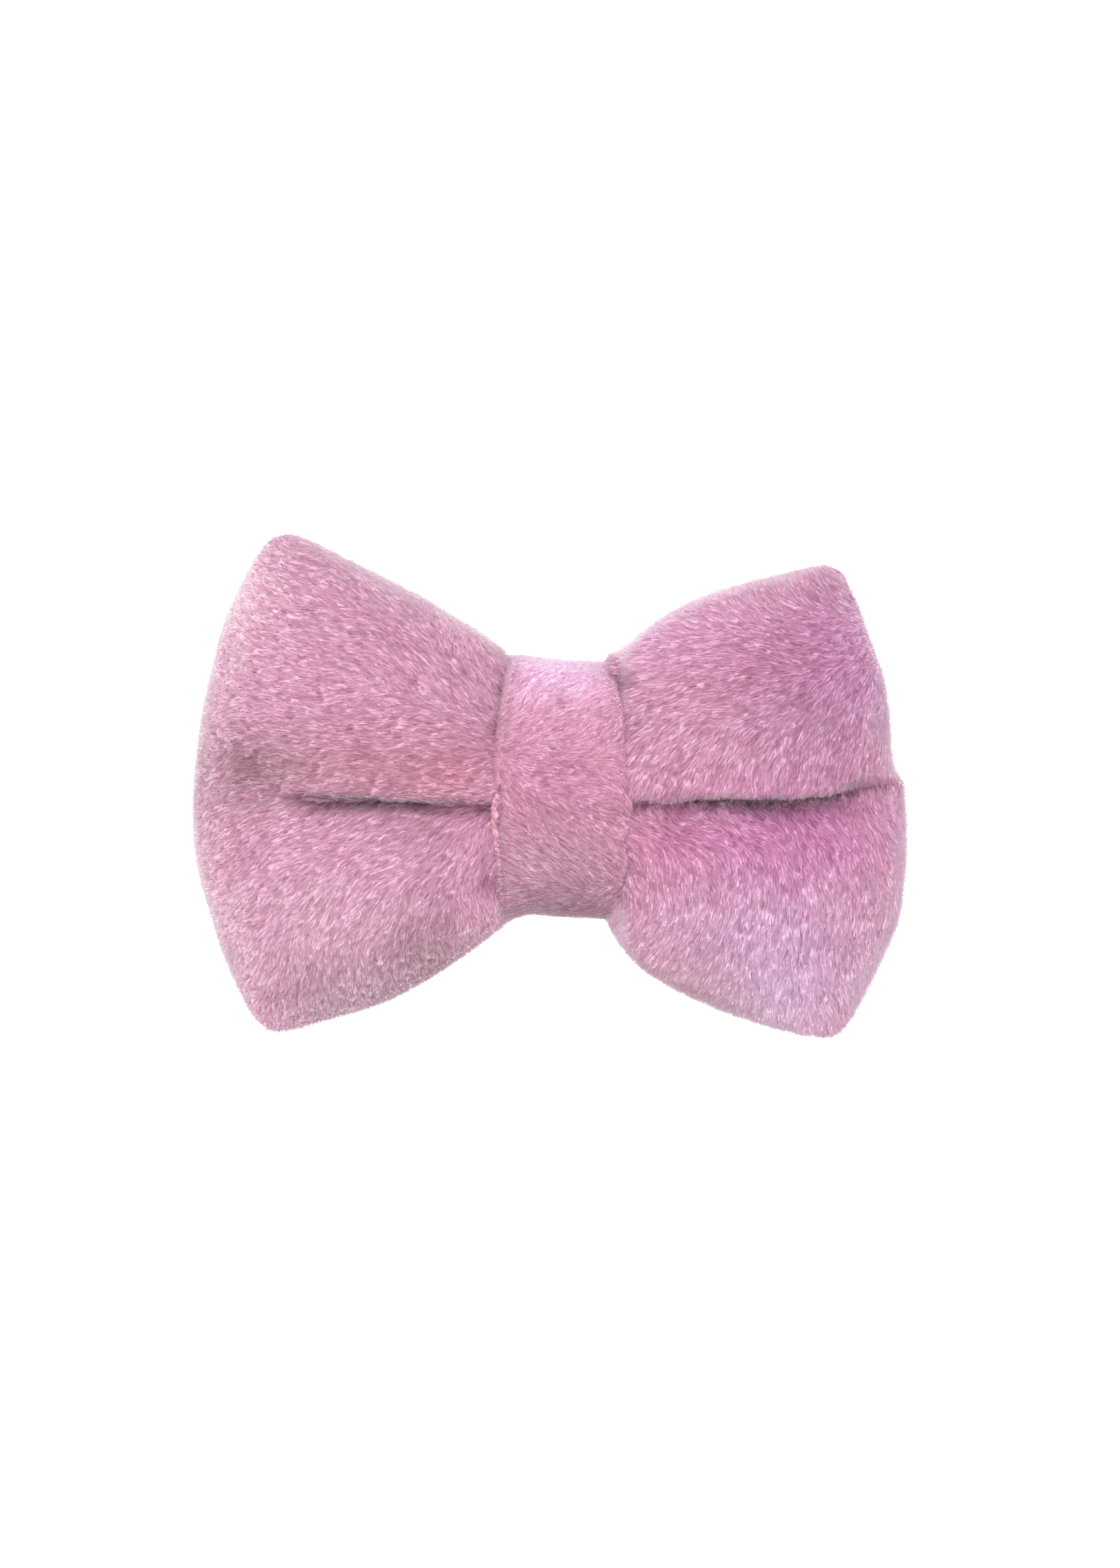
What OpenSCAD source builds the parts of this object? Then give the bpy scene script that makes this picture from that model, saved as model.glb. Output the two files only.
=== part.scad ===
// Padded plush hair bow on a sprung metal clip.
// Two plush panels are sewn face to face round their edge, turned, filled
// with loose polyester, pinched at the waist with a thread binding and
// covered there by a plush wrap. A felt patch on the back of the wrap
// carries a ribbon-lined alligator clip.
//
// Frame: millimetres, +Z up, the bow's face looks along -Y, the clip is on
// the +Y side. The origin lies on the gripping face of the clip's fixed
// plate, in the middle of the bow.

/* [Wings] */
// Farthest reach of the left wing from the middle
left_reach = 65.6; // [58:0.2:72]
// Farthest reach of the right wing from the middle
right_reach = 61.6; // [56:0.2:70]
// Left wing, sideways place of the top corner
left_top_x = 49.5; // [44:0.5:54]
// Left wing, height of the top corner above the middle
left_top_z = 45.4; // [40:0.2:50]
// Left wing, sideways place of the bottom corner
left_bottom_x = 51; // [44:0.5:54]
// Left wing, depth of the bottom corner below the middle
left_bottom_z = 44; // [38:0.2:48]
// Right wing, sideways place of the top corner
right_top_x = 49.5; // [44:0.5:54]
// Right wing, height of the top corner above the middle
right_top_z = 39.8; // [36:0.2:46]
// Right wing, sideways place of the bottom corner
right_bottom_x = 48; // [44:0.5:52]
// Right wing, depth of the bottom corner below the middle
right_bottom_z = 44.6; // [38:0.2:48]
// How far a wing bulges forward of the edge seam
wing_front = 16.5; // [12:0.5:18]
// How far a wing bulges behind the edge seam
wing_back = 12; // [8:0.5:12]
// Share of the bulge taken away by the pleat across the front
pleat_depth = 0.52; // [0.2:0.02:0.6]
// Thickness of the plush fabric, backing and pile together
plush_t = 2.6; // [2:0.1:3]

/* [Waist and wrap] */
// Half height of the pinched waist
waist_z = 19; // [16:0.5:20]
// Half depth of the pinched waist
waist_y = 9; // [8.5:0.1:9]
// Width of the plush wrap
wrap_w = 24; // [20:0.5:24]
// Thickness of the folded wrap
wrap_t = 3; // [2:0.1:3]
// Turns of thread round the waist
binding_turns = 8; // [4:1:10]
// Diameter of the sewing thread
thread_d = 0.45; // [0.3:0.05:0.45]

/* [Clip] */
// Length of the clip's fixed plate
plate_l = 62; // [58:1:66]
// Width of the clip's fixed plate
plate_w = 8.5; // [8.5:0.1:9.5]
// Thickness of the sheet steel
sheet_t = 0.8; // [0.6:0.05:0.8]
// Width of the moving jaw
jaw_w = 6.4; // [6:0.1:6.4]
// Radius of the hinge pin
pin_r = 0.75; // [0.6:0.05:0.75]
// Length of one tooth along the jaw
tooth_l = 2; // [1.5:0.25:3]
// Width of the ribbon lining
ribbon_w = 10; // [9.5:0.5:12]
// Length of the felt patch
felt_l = 46; // [40:1:50]
// Width of the felt patch
felt_w = 14; // [12:0.5:14]

/* [Hidden] */

// Plane of the edge seam, and each panel's distance from it.
seam_y = -16.5;
seam_gap = 0.25;

// Waist and wrap.
waist_x = wrap_w / 2 + 0.2;
waist_round = 2.4; // superellipse exponent of the waist's section
wrap_clearance = 0.9;
wrap_back = seam_y + waist_y + wrap_clearance + wrap_t;

// Layers behind the wrap, from front to back.
layer_gap = 0.05;
felt_y0 = -3;
felt_y1 = felt_y0 + 1.1;
glue_y0 = felt_y1 + layer_gap;
glue_y1 = glue_y0 + 0.3;
ribbon_y0 = glue_y1 + layer_gap;
ribbon_y1 = ribbon_y0 + 0.65;

// Clip: left end of the plate, and the hinge axis.
plate_x0 = -30;
hinge_x = -10;
hinge_y = 2.4;

plush = [0.85, 0.62, 0.72];
plush_dark = [0.79, 0.55, 0.66];
fibre = [0.96, 0.96, 0.94];
thread = [0.83, 0.56, 0.67];
felt = [0.91, 0.72, 0.79];
glue = [0.95, 0.93, 0.88];
ribbon = [0.93, 0.7, 0.78];
steel = [0.78, 0.79, 0.8];

// ---------------------------------------------------------------- curves

function mix(start, end, share) = (1 - share) * start + share * end;

function bezier(points, share) =
    let (rest = 1 - share)
        pow(rest, 3) * points[0] + 3 * pow(rest, 2) * share * points[1]
        + 3 * rest * share * share * points[2] + pow(share, 3) * points[3];

// Superellipse profile: 1 in the middle, 0 at -1 and 1.
function dome(place, exponent) = pow(max(0, 1 - pow(abs(place), exponent)), 1 / exponent);

function signed_pow(value, exponent) = sign(value) * pow(abs(value), exponent);

function waist_section(half_y, half_z, steps = 64) = [
    for (i = [0:steps - 1])
        let (angle = 360 * i / steps)
            [half_y * signed_pow(cos(angle), 2 / waist_round),
             half_z * signed_pow(sin(angle), 2 / waist_round)]
];

// ---------------------------------------------------------- wing outline

// side:   -1 left wing, 1 right wing
// level:  -1 bottom edge, 1 top edge
// along:  0 at the waist to 1 at the outer edge
// across: -1 at the bottom edge to 1 at the top edge
// inset:  how far the outline is pulled in
// Outline points are [x, z].

corner_squeeze = 1.3;      // a corner's fall in height for each unit of inset
waist_flare = [2.5, 9.5];  // first handle of a long edge, measured from the waist
edge_handle = 0.62;        // place of its second handle, as a share of the corner's x
outer_handle = 0.45;       // height of an outer edge handle, as a share of the corner's

function reach(side) = side < 0 ? left_reach : right_reach;
function corner_size(side, level) =
    side < 0
        ? (level < 0 ? [left_bottom_x, left_bottom_z] : [left_top_x, left_top_z])
        : (level < 0 ? [right_bottom_x, right_bottom_z] : [right_top_x, right_top_z]);
function corner(side, level, inset) =
    let (size = corner_size(side, level))
        [side * (size[0] - inset), level * (size[1] - inset * corner_squeeze)];

// How far the second handle of a long edge lies inside the corner's height.
function edge_dip(side, level) =
    side < 0 ? (level < 0 ? 4.5 : 7.5) : (level < 0 ? 3.5 : 2.5);

function long_edge(side, level, along, inset) =
    let (end = corner(side, level, inset), half = waist_z - inset)
        bezier([[side * waist_x, level * half],
                [side * (waist_x + waist_flare[0]), level * (half + waist_flare[1])],
                [end[0] * edge_handle, end[1] - level * edge_dip(side, level)],
                end], along);

// The handles are set so that the curve's middle comes to the wing's reach.
function outer_edge(side, across, inset) =
    let (low = corner(side, -1, inset),
         high = corner(side, 1, inset),
         mean_x = (abs(low[0]) + abs(high[0])) / 2,
         handle_x = side * (4 * (reach(side) - inset) - mean_x) / 3)
        bezier([low, [handle_x, low[1] * outer_handle],
                [handle_x, high[1] * outer_handle], high], (across + 1) / 2);

// Coons patch over a wing, between the waist and its three edges.
function wing_xz(side, along, across, inset) =
    let (up = (across + 1) / 2,
         waist = [side * waist_x, across * (waist_z - inset)],
         corners = mix(corner(side, -1, inset), corner(side, 1, inset), up))
        mix(waist, outer_edge(side, across, inset), along)
        + mix(long_edge(side, -1, along, inset), long_edge(side, 1, along, inset), up)
        - mix(waist, corners, along);

// ------------------------------------------------------------ wing bulge

// face: -1 front of the seam, 1 behind it

swell_end = 0.55;     // place along the wing where it reaches full depth
outer_round = 2.6;    // exponent of the fall towards the outer edge
waist_thinning = 1.4; // extra share of the inset taken off the depth at the waist
pleat_start = 0.24;   // place along the wing where the pleat is fully formed
back_pleat = 0.42;    // share of the bulge taken away behind

// Smooth rise from 0 at the waist to 1.
function swell(along) = let (rise = min(1, along / swell_end)) rise * rise * (3 - 2 * rise);

// The pleat climbs a little towards the outer edge, more so on the right,
// where it also widens and fades out.
function pleat_middle(side, along) = side < 0 ? -0.17 + 0.14 * along : -0.19 + 0.27 * along;
function pleat_width(along) = 0.13 + 0.1 * along;
function pleat(side, along, across) =
    exp(-pow((across - pleat_middle(side, along)) / pleat_width(along), 2))
    * min(1, along / pleat_start) * (1 - pow(along, 3));

function bulge(side, along, across, inset, face) =
    let (depth = (face < 0 ? wing_front : wing_back) - inset,
         fold = face < 0 ? pleat_depth : back_pleat,
         rise = swell(along),
         full = waist_y - inset * (1 + waist_thinning * (1 - rise)) + (depth - waist_y) * rise)
        full * dome(across, waist_round) * dome(along, outer_round)
        * (1 - fold * pleat(side, along, across));

function skin_point(side, along, across, inset, face, gap) =
    let (place = wing_xz(side, along, across, inset))
        [place[0], seam_y + face * (gap + bulge(side, along, across, inset, face)), place[1]];

// ---------------------------------------------------------------- plush

// Grid over a wing, closer towards its edges.
steps_along = 13;
steps_across = 22;
row = steps_across + 1;
function grid_along(i) = sin(90 * i / steps_along);
function grid_across(j) = sin(-90 + 180 * j / steps_across);

function flip(face) = [face[0], face[2], face[1]];
function wound(faces, keep) = keep ? faces : [for (f = faces) flip(f)];

// A panel is a bowl: outer skin, inner skin and the flat rim between them.
// Column 0 is the left edge, the last column the right edge.
module panel(face) {
    cols = 2 * steps_along + 2;
    count = cols * row;
    function skin_points(inset) = [
        for (i = [0:cols - 1], j = [0:steps_across])
            let (side = i <= steps_along ? -1 : 1,
                 step = side < 0 ? steps_along - i : i - steps_along - 1)
                skin_point(side, grid_along(step), grid_across(j), inset, face, seam_gap)
    ];
    rim = concat([for (i = [0:cols - 1]) i * row],
                 [for (j = [1:steps_across]) (cols - 1) * row + j],
                 [for (i = [cols - 2:-1:0]) i * row + steps_across],
                 [for (j = [steps_across - 1:-1:1]) j]);
    skin = [for (i = [0:cols - 2], j = [0:steps_across - 1])
        let (a = i * row + j, b = a + row)
            each [[a, b, b + 1], [a, b + 1, a + 1]]];
    lining = [for (f = skin) flip(f) + [count, count, count]];
    rim_faces = [for (k = [0:len(rim) - 1])
        let (a = rim[k], b = rim[(k + 1) % len(rim)])
            each [[a, a + count, b + count], [a, b + count, b]]];
    polyhedron(concat(skin_points(0), skin_points(plush_t)),
               wound(concat(skin, lining, rim_faces), face > 0));
}

module front_panel() { color(plush) panel(-1); }
module back_panel() { color(plush_dark) panel(1); }

// A wad of loose fibre, pulled in from the panels, with a closed mouth.
module filling(side) {
    inset = plush_t + 0.4;
    // The grid's first column and last but one are left out, the latter so
    // that the rim has no slivers.
    last = steps_along - 2;
    function column(i) = i == last ? 1 : grid_along(i + 1);
    // The two skins share their rim, where the bulge is nothing.
    function id(face, i, j) =
        let (own = face > 0 && j > 0 && j < steps_across && i < last)
            (own ? (last + 1) * row : 0) + i * row + j;
    function quad(face, i, j) =
        let (a = id(face, i, j), b = id(face, i + 1, j),
             c = id(face, i + 1, j + 1), d = id(face, i, j + 1),
             cut_ac = j > 0 && (side > 0 || j == steps_across - 1))
            wound(cut_ac ? [[a, b, c], [a, c, d]] : [[a, b, d], [b, c, d]], face * side > 0);
    // At either end of the mouth a quad shrinks to one triangle.
    function mouth(j) =
        let (a = id(-1, 0, j), b = id(-1, 0, j + 1), c = id(1, 0, j + 1), d = id(1, 0, j))
            wound([if (b != c) [a, b, c], if (a != d) [a, c, d]], side < 0);
    color(fibre)
        polyhedron(
            [for (face = [-1, 1], i = [0:last], j = [0:steps_across])
                skin_point(side, column(i), grid_across(j), inset, face, 0)],
            concat([for (face = [-1, 1], i = [0:last - 1], j = [0:steps_across - 1])
                       each quad(face, i, j)],
                   [for (j = [0:steps_across - 1]) each mouth(j)]));
}

module left_filling() { filling(-1); }
module right_filling() { filling(1); }

// One straight stitch in the seam plane, between two [x, z] points.
module seam_stitch(start, end) {
    run = end - start;
    translate([start[0], seam_y, start[1]])
        rotate([0, atan2(run[0], run[1]), 0])
            cylinder(d = min(thread_d, 2 * seam_gap - 0.06), h = norm(run), $fn = 16);
}

// The lockstitch that joins the panels, in the gap between their rims.
module edge_stitches() {
    inset = plush_t / 2;
    filled = 0.72; // share of the pitch that a stitch takes up
    long_count = 12;
    long_start = 0.06;
    long_pitch = 0.9 / long_count;
    outer_count = 22;
    outer_start = -0.94;
    outer_pitch = -2 * outer_start / outer_count;
    color(thread) for (side = [-1, 1]) {
        for (k = [0:long_count - 1], level = [1, -1]) {
            from = long_start + k * long_pitch;
            to = from + filled * long_pitch;
            seam_stitch(long_edge(side, level, from, inset), long_edge(side, level, to, inset));
        }
        for (k = [0:outer_count - 1]) {
            from = outer_start + k * outer_pitch;
            to = from + filled * outer_pitch;
            seam_stitch(outer_edge(side, from, inset), outer_edge(side, to, inset));
        }
    }
}

// A closed band round the waist, clear of it by the given gaps.
module waist_band(gap_y, gap_z, thickness, width) {
    half_y = waist_y + gap_y;
    half_z = waist_z + gap_z;
    translate([-width / 2, seam_y, 0]) rotate([90, 0, 90])
        linear_extrude(width) difference() {
            polygon(waist_section(half_y + thickness, half_z + thickness));
            polygon(waist_section(half_y, half_z));
        }
}

// Thread wound round the pinch, one ring for each turn.
module waist_binding() {
    pitch = 0.9;
    color(thread) for (k = [0:binding_turns - 1])
        translate([(k - (binding_turns - 1) / 2) * pitch, 0, 0])
            waist_band(gap_y = 0.32, gap_z = 0.15, thickness = 0.45, width = 0.5);
}

// The wrap is a strip whose two ends meet behind the waist.
module center_wrap() {
    slit = 0.3;
    color(plush) difference() {
        waist_band(wrap_clearance, wrap_clearance, wrap_t, wrap_w);
        translate([-wrap_w, seam_y + 1, -slit / 2]) cube([2 * wrap_w, 40, slit]);
    }
}

// Hand stitches across the butted ends, under the felt.
module wrap_stitches() {
    count = 8;
    length = 4.4;
    lean = 12;
    pitch = wrap_w * 0.85 / count;
    color(thread) for (k = [0:count - 1])
        translate([(k - (count - 1) / 2) * pitch, wrap_back + 0.3, -length / 2])
            rotate([0, lean, 0]) cylinder(d = thread_d, h = length, $fn = 16);
}

// ---------------------------------------------------------------- backing

// A plate between depths y0 and y1, with rounded corners.
module rounded_plate(length, width, radius, y0, y1) {
    depth = y1 - y0;
    translate([0, y1, 0]) rotate([90, 0, 0]) {
        translate([-length / 2 + radius, -width / 2, 0]) cube([length - 2 * radius, width, depth]);
        translate([-length / 2, -width / 2 + radius, 0]) cube([length, width - 2 * radius, depth]);
        for (x = [-1, 1], z = [-1, 1])
            translate([x * (length / 2 - radius), z * (width / 2 - radius), 0])
                cylinder(r = radius, h = depth, $fn = 48);
    }
}

module backing_felt() { color(felt) rounded_plate(felt_l, felt_w, 5, felt_y0, felt_y1); }

// Whip stitches over the long edges of the felt, forward to the wrap.
module felt_stitches() {
    count = 6;
    pitch = (wrap_w - 4) / (count - 1);
    bite = 1.9;  // length lying on the felt
    sink = 0.75; // reach forward of the felt
    z = felt_w / 2 + thread_d / 2 + 0.05;
    y = felt_y1 + thread_d / 2 + 0.03;
    color(thread) for (k = [0:count - 1], m = [0, 1])
        translate([(k - (count - 1) / 2) * pitch, 0, 0]) mirror([0, 0, m]) {
            translate([0, y, z - bite]) cylinder(d = thread_d, h = bite, $fn = 16);
            translate([0, y, z]) sphere(d = thread_d, $fn = 16);
            translate([0, y, z]) rotate([90, 0, 0])
                cylinder(d = thread_d, h = y - felt_y0 + sink, $fn = 16);
        }
}

module glue_layer() { color(glue) rounded_plate(felt_l - 8, 7, 3.4, glue_y0, glue_y1); }

module clip_ribbon() {
    overhang = 0.8;
    color(ribbon) translate([plate_x0 - overhang, ribbon_y0, -ribbon_w / 2])
        cube([plate_l + 2 * overhang, ribbon_y1 - ribbon_y0, ribbon_w]);
}

// ---------------------------------------------------------------- clip

// A disc or rod on the hinge axis.
module hinge_disc(radius, z, height) {
    translate([hinge_x, hinge_y, z]) cylinder(r = radius, h = height, $fn = 48);
}

// The cutter for a pin hole right through the clip.
module pin_hole(clearance) { hinge_disc(pin_r + clearance, -plate_w, 2 * plate_w); }

module clip_plate() {
    ear_r = 2.6;
    tip = 3; // length of each rounded end
    color(steel) difference() {
        union() {
            translate([plate_x0 + tip, -sheet_t, -plate_w / 2])
                cube([plate_l - 2 * tip, sheet_t, plate_w]);
            for (x = [plate_x0 + tip, plate_x0 + plate_l - tip])
                intersection() {
                    translate([x, 0, 0]) rotate([90, 0, 0])
                        cylinder(r = plate_w / 2, h = sheet_t, $fn = 64);
                    translate([x - tip, -sheet_t, -plate_w / 2])
                        cube([2 * tip, sheet_t, plate_w]);
                }
            // Ears that hold the pin.
            for (z = [-plate_w / 2, plate_w / 2 - sheet_t]) {
                hinge_disc(ear_r, z, sheet_t);
                translate([hinge_x - ear_r, -sheet_t / 2, z])
                    cube([2 * ear_r, hinge_y + sheet_t / 2, sheet_t]);
            }
        }
        pin_hole(0.02);
    }
}

module clip_pin() {
    half = plate_w / 2 + 0.02;
    color(steel) {
        hinge_disc(pin_r, -half, 2 * half);
        for (m = [0, 1]) mirror([0, 0, m])
            hinge_disc(pin_r + 0.55, half, 0.4);
    }
}

// The jaw's sheet from the finger end to the bent tip: [x, y] of its inner line.
jaw_line = [[-30, 12], [-14.5, 4.6], [-7, 4.6], [0, 2.3], [28, 2.3], [30.4, 0.35]];

function unit(v) = v / norm(v);
function left_of(v) = [-v[1], v[0]];

// A bent strip of sheet, laid on the left of an [x, y] line with sharp turns.
module bent_sheet(line, thickness, width) {
    last = len(line) - 1;
    function normal(i) = left_of(unit(line[i + 1] - line[i]));
    function outer(i) =
        let (after = normal(min(i, last - 1)),
             before = normal(max(i - 1, 0)),
             miter = unit(after + before))
            line[i] + miter * thickness / (miter * after);
    translate([0, 0, -width / 2]) linear_extrude(width)
        polygon(concat(line, [for (i = [last:-1:0]) outer(i)]));
}

jaw_wall_t = 0.7;

// Side wall of the jaw: a web in front of the sheet, with teeth along its edge.
module jaw_wall() {
    ear = 2.1;
    lap = [0, 0.1]; // how far the web runs into the sheet
    root_y = 1.1;
    tip_y = 0.15;
    teeth_x = 3;
    count = floor((28.4 - teeth_x) / tooth_l);
    teeth = [for (k = [0:count - 1])
        each [[teeth_x + k * tooth_l, root_y], [teeth_x + (k + 0.5) * tooth_l, tip_y]]];
    linear_extrude(jaw_wall_t) polygon(concat(
        [[hinge_x - ear, jaw_line[2][1] + lap[1]],
         [hinge_x - ear, hinge_y],
         [hinge_x, hinge_y - ear * 0.6],
         [hinge_x + ear, root_y]],
        teeth,
        [[teeth_x + count * tooth_l, root_y],
         [28.3, 2.25],
         jaw_line[4] + lap,
         jaw_line[3] + lap,
         jaw_line[2] + lap]));
    hinge_disc(ear, 0, jaw_wall_t);
}

module clip_lever() {
    color(steel) difference() {
        union() {
            bent_sheet(jaw_line, sheet_t, jaw_w);
            for (z = [jaw_w / 2 - jaw_wall_t, -jaw_w / 2])
                translate([0, 0, z]) jaw_wall();
        }
        pin_hole(0.07);
    }
}

// Torsion spring: a leg on the plate, turns round the pin, a leg on the lever.
module clip_spring() {
    wire_r = 0.28;
    coil_r = 1.3;
    half_w = 1.4;
    start_angle = 107.2;
    end_angle = 240.2 - 360 * 4;
    steps = 54;
    sides = 6;
    path = concat(
        [[-20.5, 0.5, -half_w]],
        [for (i = [0:steps])
            let (angle = mix(start_angle, end_angle, i / steps))
                [hinge_x + coil_r * cos(angle),
                 hinge_y + coil_r * sin(angle),
                 mix(-half_w, half_w, i / steps)]],
        [[-20.6, 6.9, half_w]]);
    last = len(path) - 1;
    // Section of the wire, upright in Z and square to the path seen along Z.
    function ring(i) =
        let (run = path[min(i + 1, last)] - path[max(i - 1, 0)],
             normal = unit([-run[1], run[0], 0]))
            [for (k = [0:sides - 1])
                let (angle = 360 * k / sides)
                    path[i] + wire_r * (cos(angle) * normal + [0, 0, sin(angle)])];
    color(steel) polyhedron(
        [for (i = [0:last]) each ring(i)],
        concat([[for (k = [0:sides - 1]) k]],
               [for (i = [0:last - 1], k = [0:sides - 1])
                   let (a = i * sides + k, b = i * sides + (k + 1) % sides)
                       each [[a, a + sides, b + sides], [a, b + sides, b]]],
               [[for (k = [sides - 1:-1:0]) last * sides + k]]));
}

front_panel();
back_panel();
left_filling();
right_filling();
edge_stitches();
waist_binding();
center_wrap();
wrap_stitches();
backing_felt();
felt_stitches();
glue_layer();
clip_ribbon();
clip_plate();
clip_pin();
clip_spring();
clip_lever();
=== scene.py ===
"""A plush bow on a sprung metal clip.

X runs along the bow, Z is up, and the bow faces -Y. Two stuffed wings meet at a waist, where
thread binds them and a plush strip wraps round. Behind the wrap lie felt, glue, ribbon and clip.
Sizes are in mm and turned into metres by MM; floor, lights and camera are noted where they differ.
"""
import math

import bmesh
import bpy
import numpy as np
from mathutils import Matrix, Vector


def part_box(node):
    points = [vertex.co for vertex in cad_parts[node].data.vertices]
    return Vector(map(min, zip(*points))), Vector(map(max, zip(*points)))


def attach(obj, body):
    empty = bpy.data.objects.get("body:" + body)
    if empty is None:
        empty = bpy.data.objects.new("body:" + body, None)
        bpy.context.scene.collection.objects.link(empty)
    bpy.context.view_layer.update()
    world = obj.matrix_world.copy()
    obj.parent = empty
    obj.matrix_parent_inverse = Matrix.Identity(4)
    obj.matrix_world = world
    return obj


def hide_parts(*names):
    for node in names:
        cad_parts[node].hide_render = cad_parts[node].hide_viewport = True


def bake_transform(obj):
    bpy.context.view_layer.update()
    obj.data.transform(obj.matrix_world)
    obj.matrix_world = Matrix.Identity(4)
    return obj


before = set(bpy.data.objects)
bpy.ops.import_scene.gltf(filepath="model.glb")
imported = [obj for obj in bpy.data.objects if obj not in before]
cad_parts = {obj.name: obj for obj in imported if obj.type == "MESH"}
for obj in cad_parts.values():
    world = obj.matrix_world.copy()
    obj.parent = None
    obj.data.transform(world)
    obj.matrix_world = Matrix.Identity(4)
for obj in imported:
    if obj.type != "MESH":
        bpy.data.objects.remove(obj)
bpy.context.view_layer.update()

MM = 0.001
SEAM_Y = -16.5          # the plane in which front and back panels are sewn together
PILE = 0.48             # the pile stands this far outside the cloth at the outline
FRONT, BACK = -1, 1     # which way a panel faces along Y
COVER_WAIST = 9.0       # fullness of the cover at the waist
FRONT_DEPTH, BACK_DEPTH = 15.6, 11.2    # fullness of the panels away from the waist


# ------------------------------------------------------------------ numbers

def ramp(value, start, width):
    """Eases from 0 at `start` to 1 a `width` further on."""
    t = np.clip((value - start) / width, 0.0, 1.0)
    return t * t * (3 - 2 * t)


def bell(offset, reach, power=2):
    """1 in the middle, falling away over `reach`."""
    return np.exp(-np.abs(offset / reach) ** power)


def spot(x, z, mid_x, mid_z, reach_x, reach_z):
    return np.exp(-((x - mid_x) / reach_x) ** 2 - ((z - mid_z) / reach_z) ** 2)


def unit(vectors):
    return vectors / np.maximum(np.linalg.norm(vectors, axis=-1, keepdims=True), 1e-9)


def hashed(ix, iy, iz, seed):
    """A number in 0..1 for each lattice point."""
    h = (ix.astype(np.int64) * 374761393 + iy.astype(np.int64) * 668265263
         + iz.astype(np.int64) * 1274126177 + seed * 974634777) & 0xFFFFFFFF
    h = ((h ^ (h >> 13)) * 1103515245) & 0xFFFFFFFF
    h = ((h ^ (h >> 16)) * 2246822519) & 0xFFFFFFFF
    return ((h ^ (h >> 15)) & 0xFFFFFF) / float(0xFFFFFF)


def noise(places, size, seed=0):
    """Smooth value noise in -1..1 with lumps about `size` across; places is (..., 3)."""
    scaled = places / size
    cell = np.floor(scaled).astype(np.int64)
    part = scaled - cell
    part = part * part * part * (part * (part * 6 - 15) + 10)
    total = 0.0
    for dx in (0, 1):
        for dy in (0, 1):
            for dz in (0, 1):
                weight = ((part[..., 0] if dx else 1 - part[..., 0])
                          * (part[..., 1] if dy else 1 - part[..., 1])
                          * (part[..., 2] if dz else 1 - part[..., 2]))
                total = total + weight * hashed(cell[..., 0] + dx, cell[..., 1] + dy,
                                                cell[..., 2] + dz, seed)
    return total * 2 - 1


def hermite(values, knots, at):
    """A smooth curve through values given at knots, read at the 1-D places `at`."""
    i = np.clip(np.searchsorted(knots, at, side="right") - 1, 0, len(knots) - 2)
    slope = np.gradient(values, knots, axis=0)
    shape = (-1, *([1] * (values.ndim - 1)))
    step = (knots[i + 1] - knots[i]).reshape(shape)
    t = (at - knots[i]).reshape(shape) / step
    return ((2 * t**3 - 3 * t**2 + 1) * values[i] + (t**3 - 2 * t**2 + t) * step * slope[i]
            + (3 * t**2 - 2 * t**3) * values[i + 1] + (t**3 - t**2) * step * slope[i + 1])


def length_along(line):
    return np.r_[0, np.cumsum(np.linalg.norm(np.diff(line, axis=0), axis=1))]


def spline(points, at):
    """A smooth curve through the points, `at` from 0 to 1 by chord length."""
    points = np.array(points, float)
    chord = length_along(points)
    chord /= chord[-1]
    return hermite(points, chord, at)


def point_along(line, at):
    """Points on a polyline, `at` from 0 to 1 by length."""
    length = length_along(line)
    length /= length[-1]
    return np.stack([np.interp(at, length, line[:, 0]), np.interp(at, length, line[:, 1])], -1)


def oval(angle, power):
    """Cosine and sine of a superellipse: power 2 is round, more is squarer."""
    return [np.sign(w) * np.abs(w) ** (2 / power) for w in (np.cos(angle), np.sin(angle))]


def tangents(grid):
    return np.gradient(grid, axis=0), np.gradient(grid, axis=1)


def bilinear(values, row, col, row_part, col_part):
    return ((values[row, col] * (1 - row_part) + values[row + 1, col] * row_part) * (1 - col_part)
            + (values[row, col + 1] * (1 - row_part)
               + values[row + 1, col + 1] * row_part) * col_part)


def linear(srgb):
    """Linear colour from sRGB in 0..255."""
    c = np.array(srgb, float) / 255.0
    return np.where(c <= 0.04045, c / 12.92, ((c + 0.055) / 1.055) ** 2.4)


# ------------------------------------------------------------------ meshes

def id_grid(rows, cols):
    return np.arange(rows * cols).reshape(rows, cols)


def grid_faces(ids, flip):
    quads = np.stack([ids[:-1, :-1], ids[1:, :-1], ids[1:, 1:], ids[:-1, 1:]], -1).reshape(-1, 4)
    return (quads[:, ::-1] if flip else quads).tolist()


def ring_faces(ids):
    """Quads between rings of points, each row of ids being one closed ring."""
    low, high = ids[:-1], ids[1:]
    quads = np.stack([low, np.roll(low, -1, 1), np.roll(high, -1, 1), high], -1)
    return quads.reshape(-1, 4).tolist()


def back_ids(ids, shared):
    """Ids of a second sheet that shares the marked points with the first."""
    other = ids.copy()
    other[~shared] = ids.size + np.arange((~shared).sum())
    return other


def join_parts(parts):
    points, faces, base = [], [], 0
    for part_points, part_faces in parts:
        points.append(part_points)
        faces += [[int(k) + base for k in face] for face in part_faces]
        base += len(part_points)
    return np.concatenate(points), faces


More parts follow.
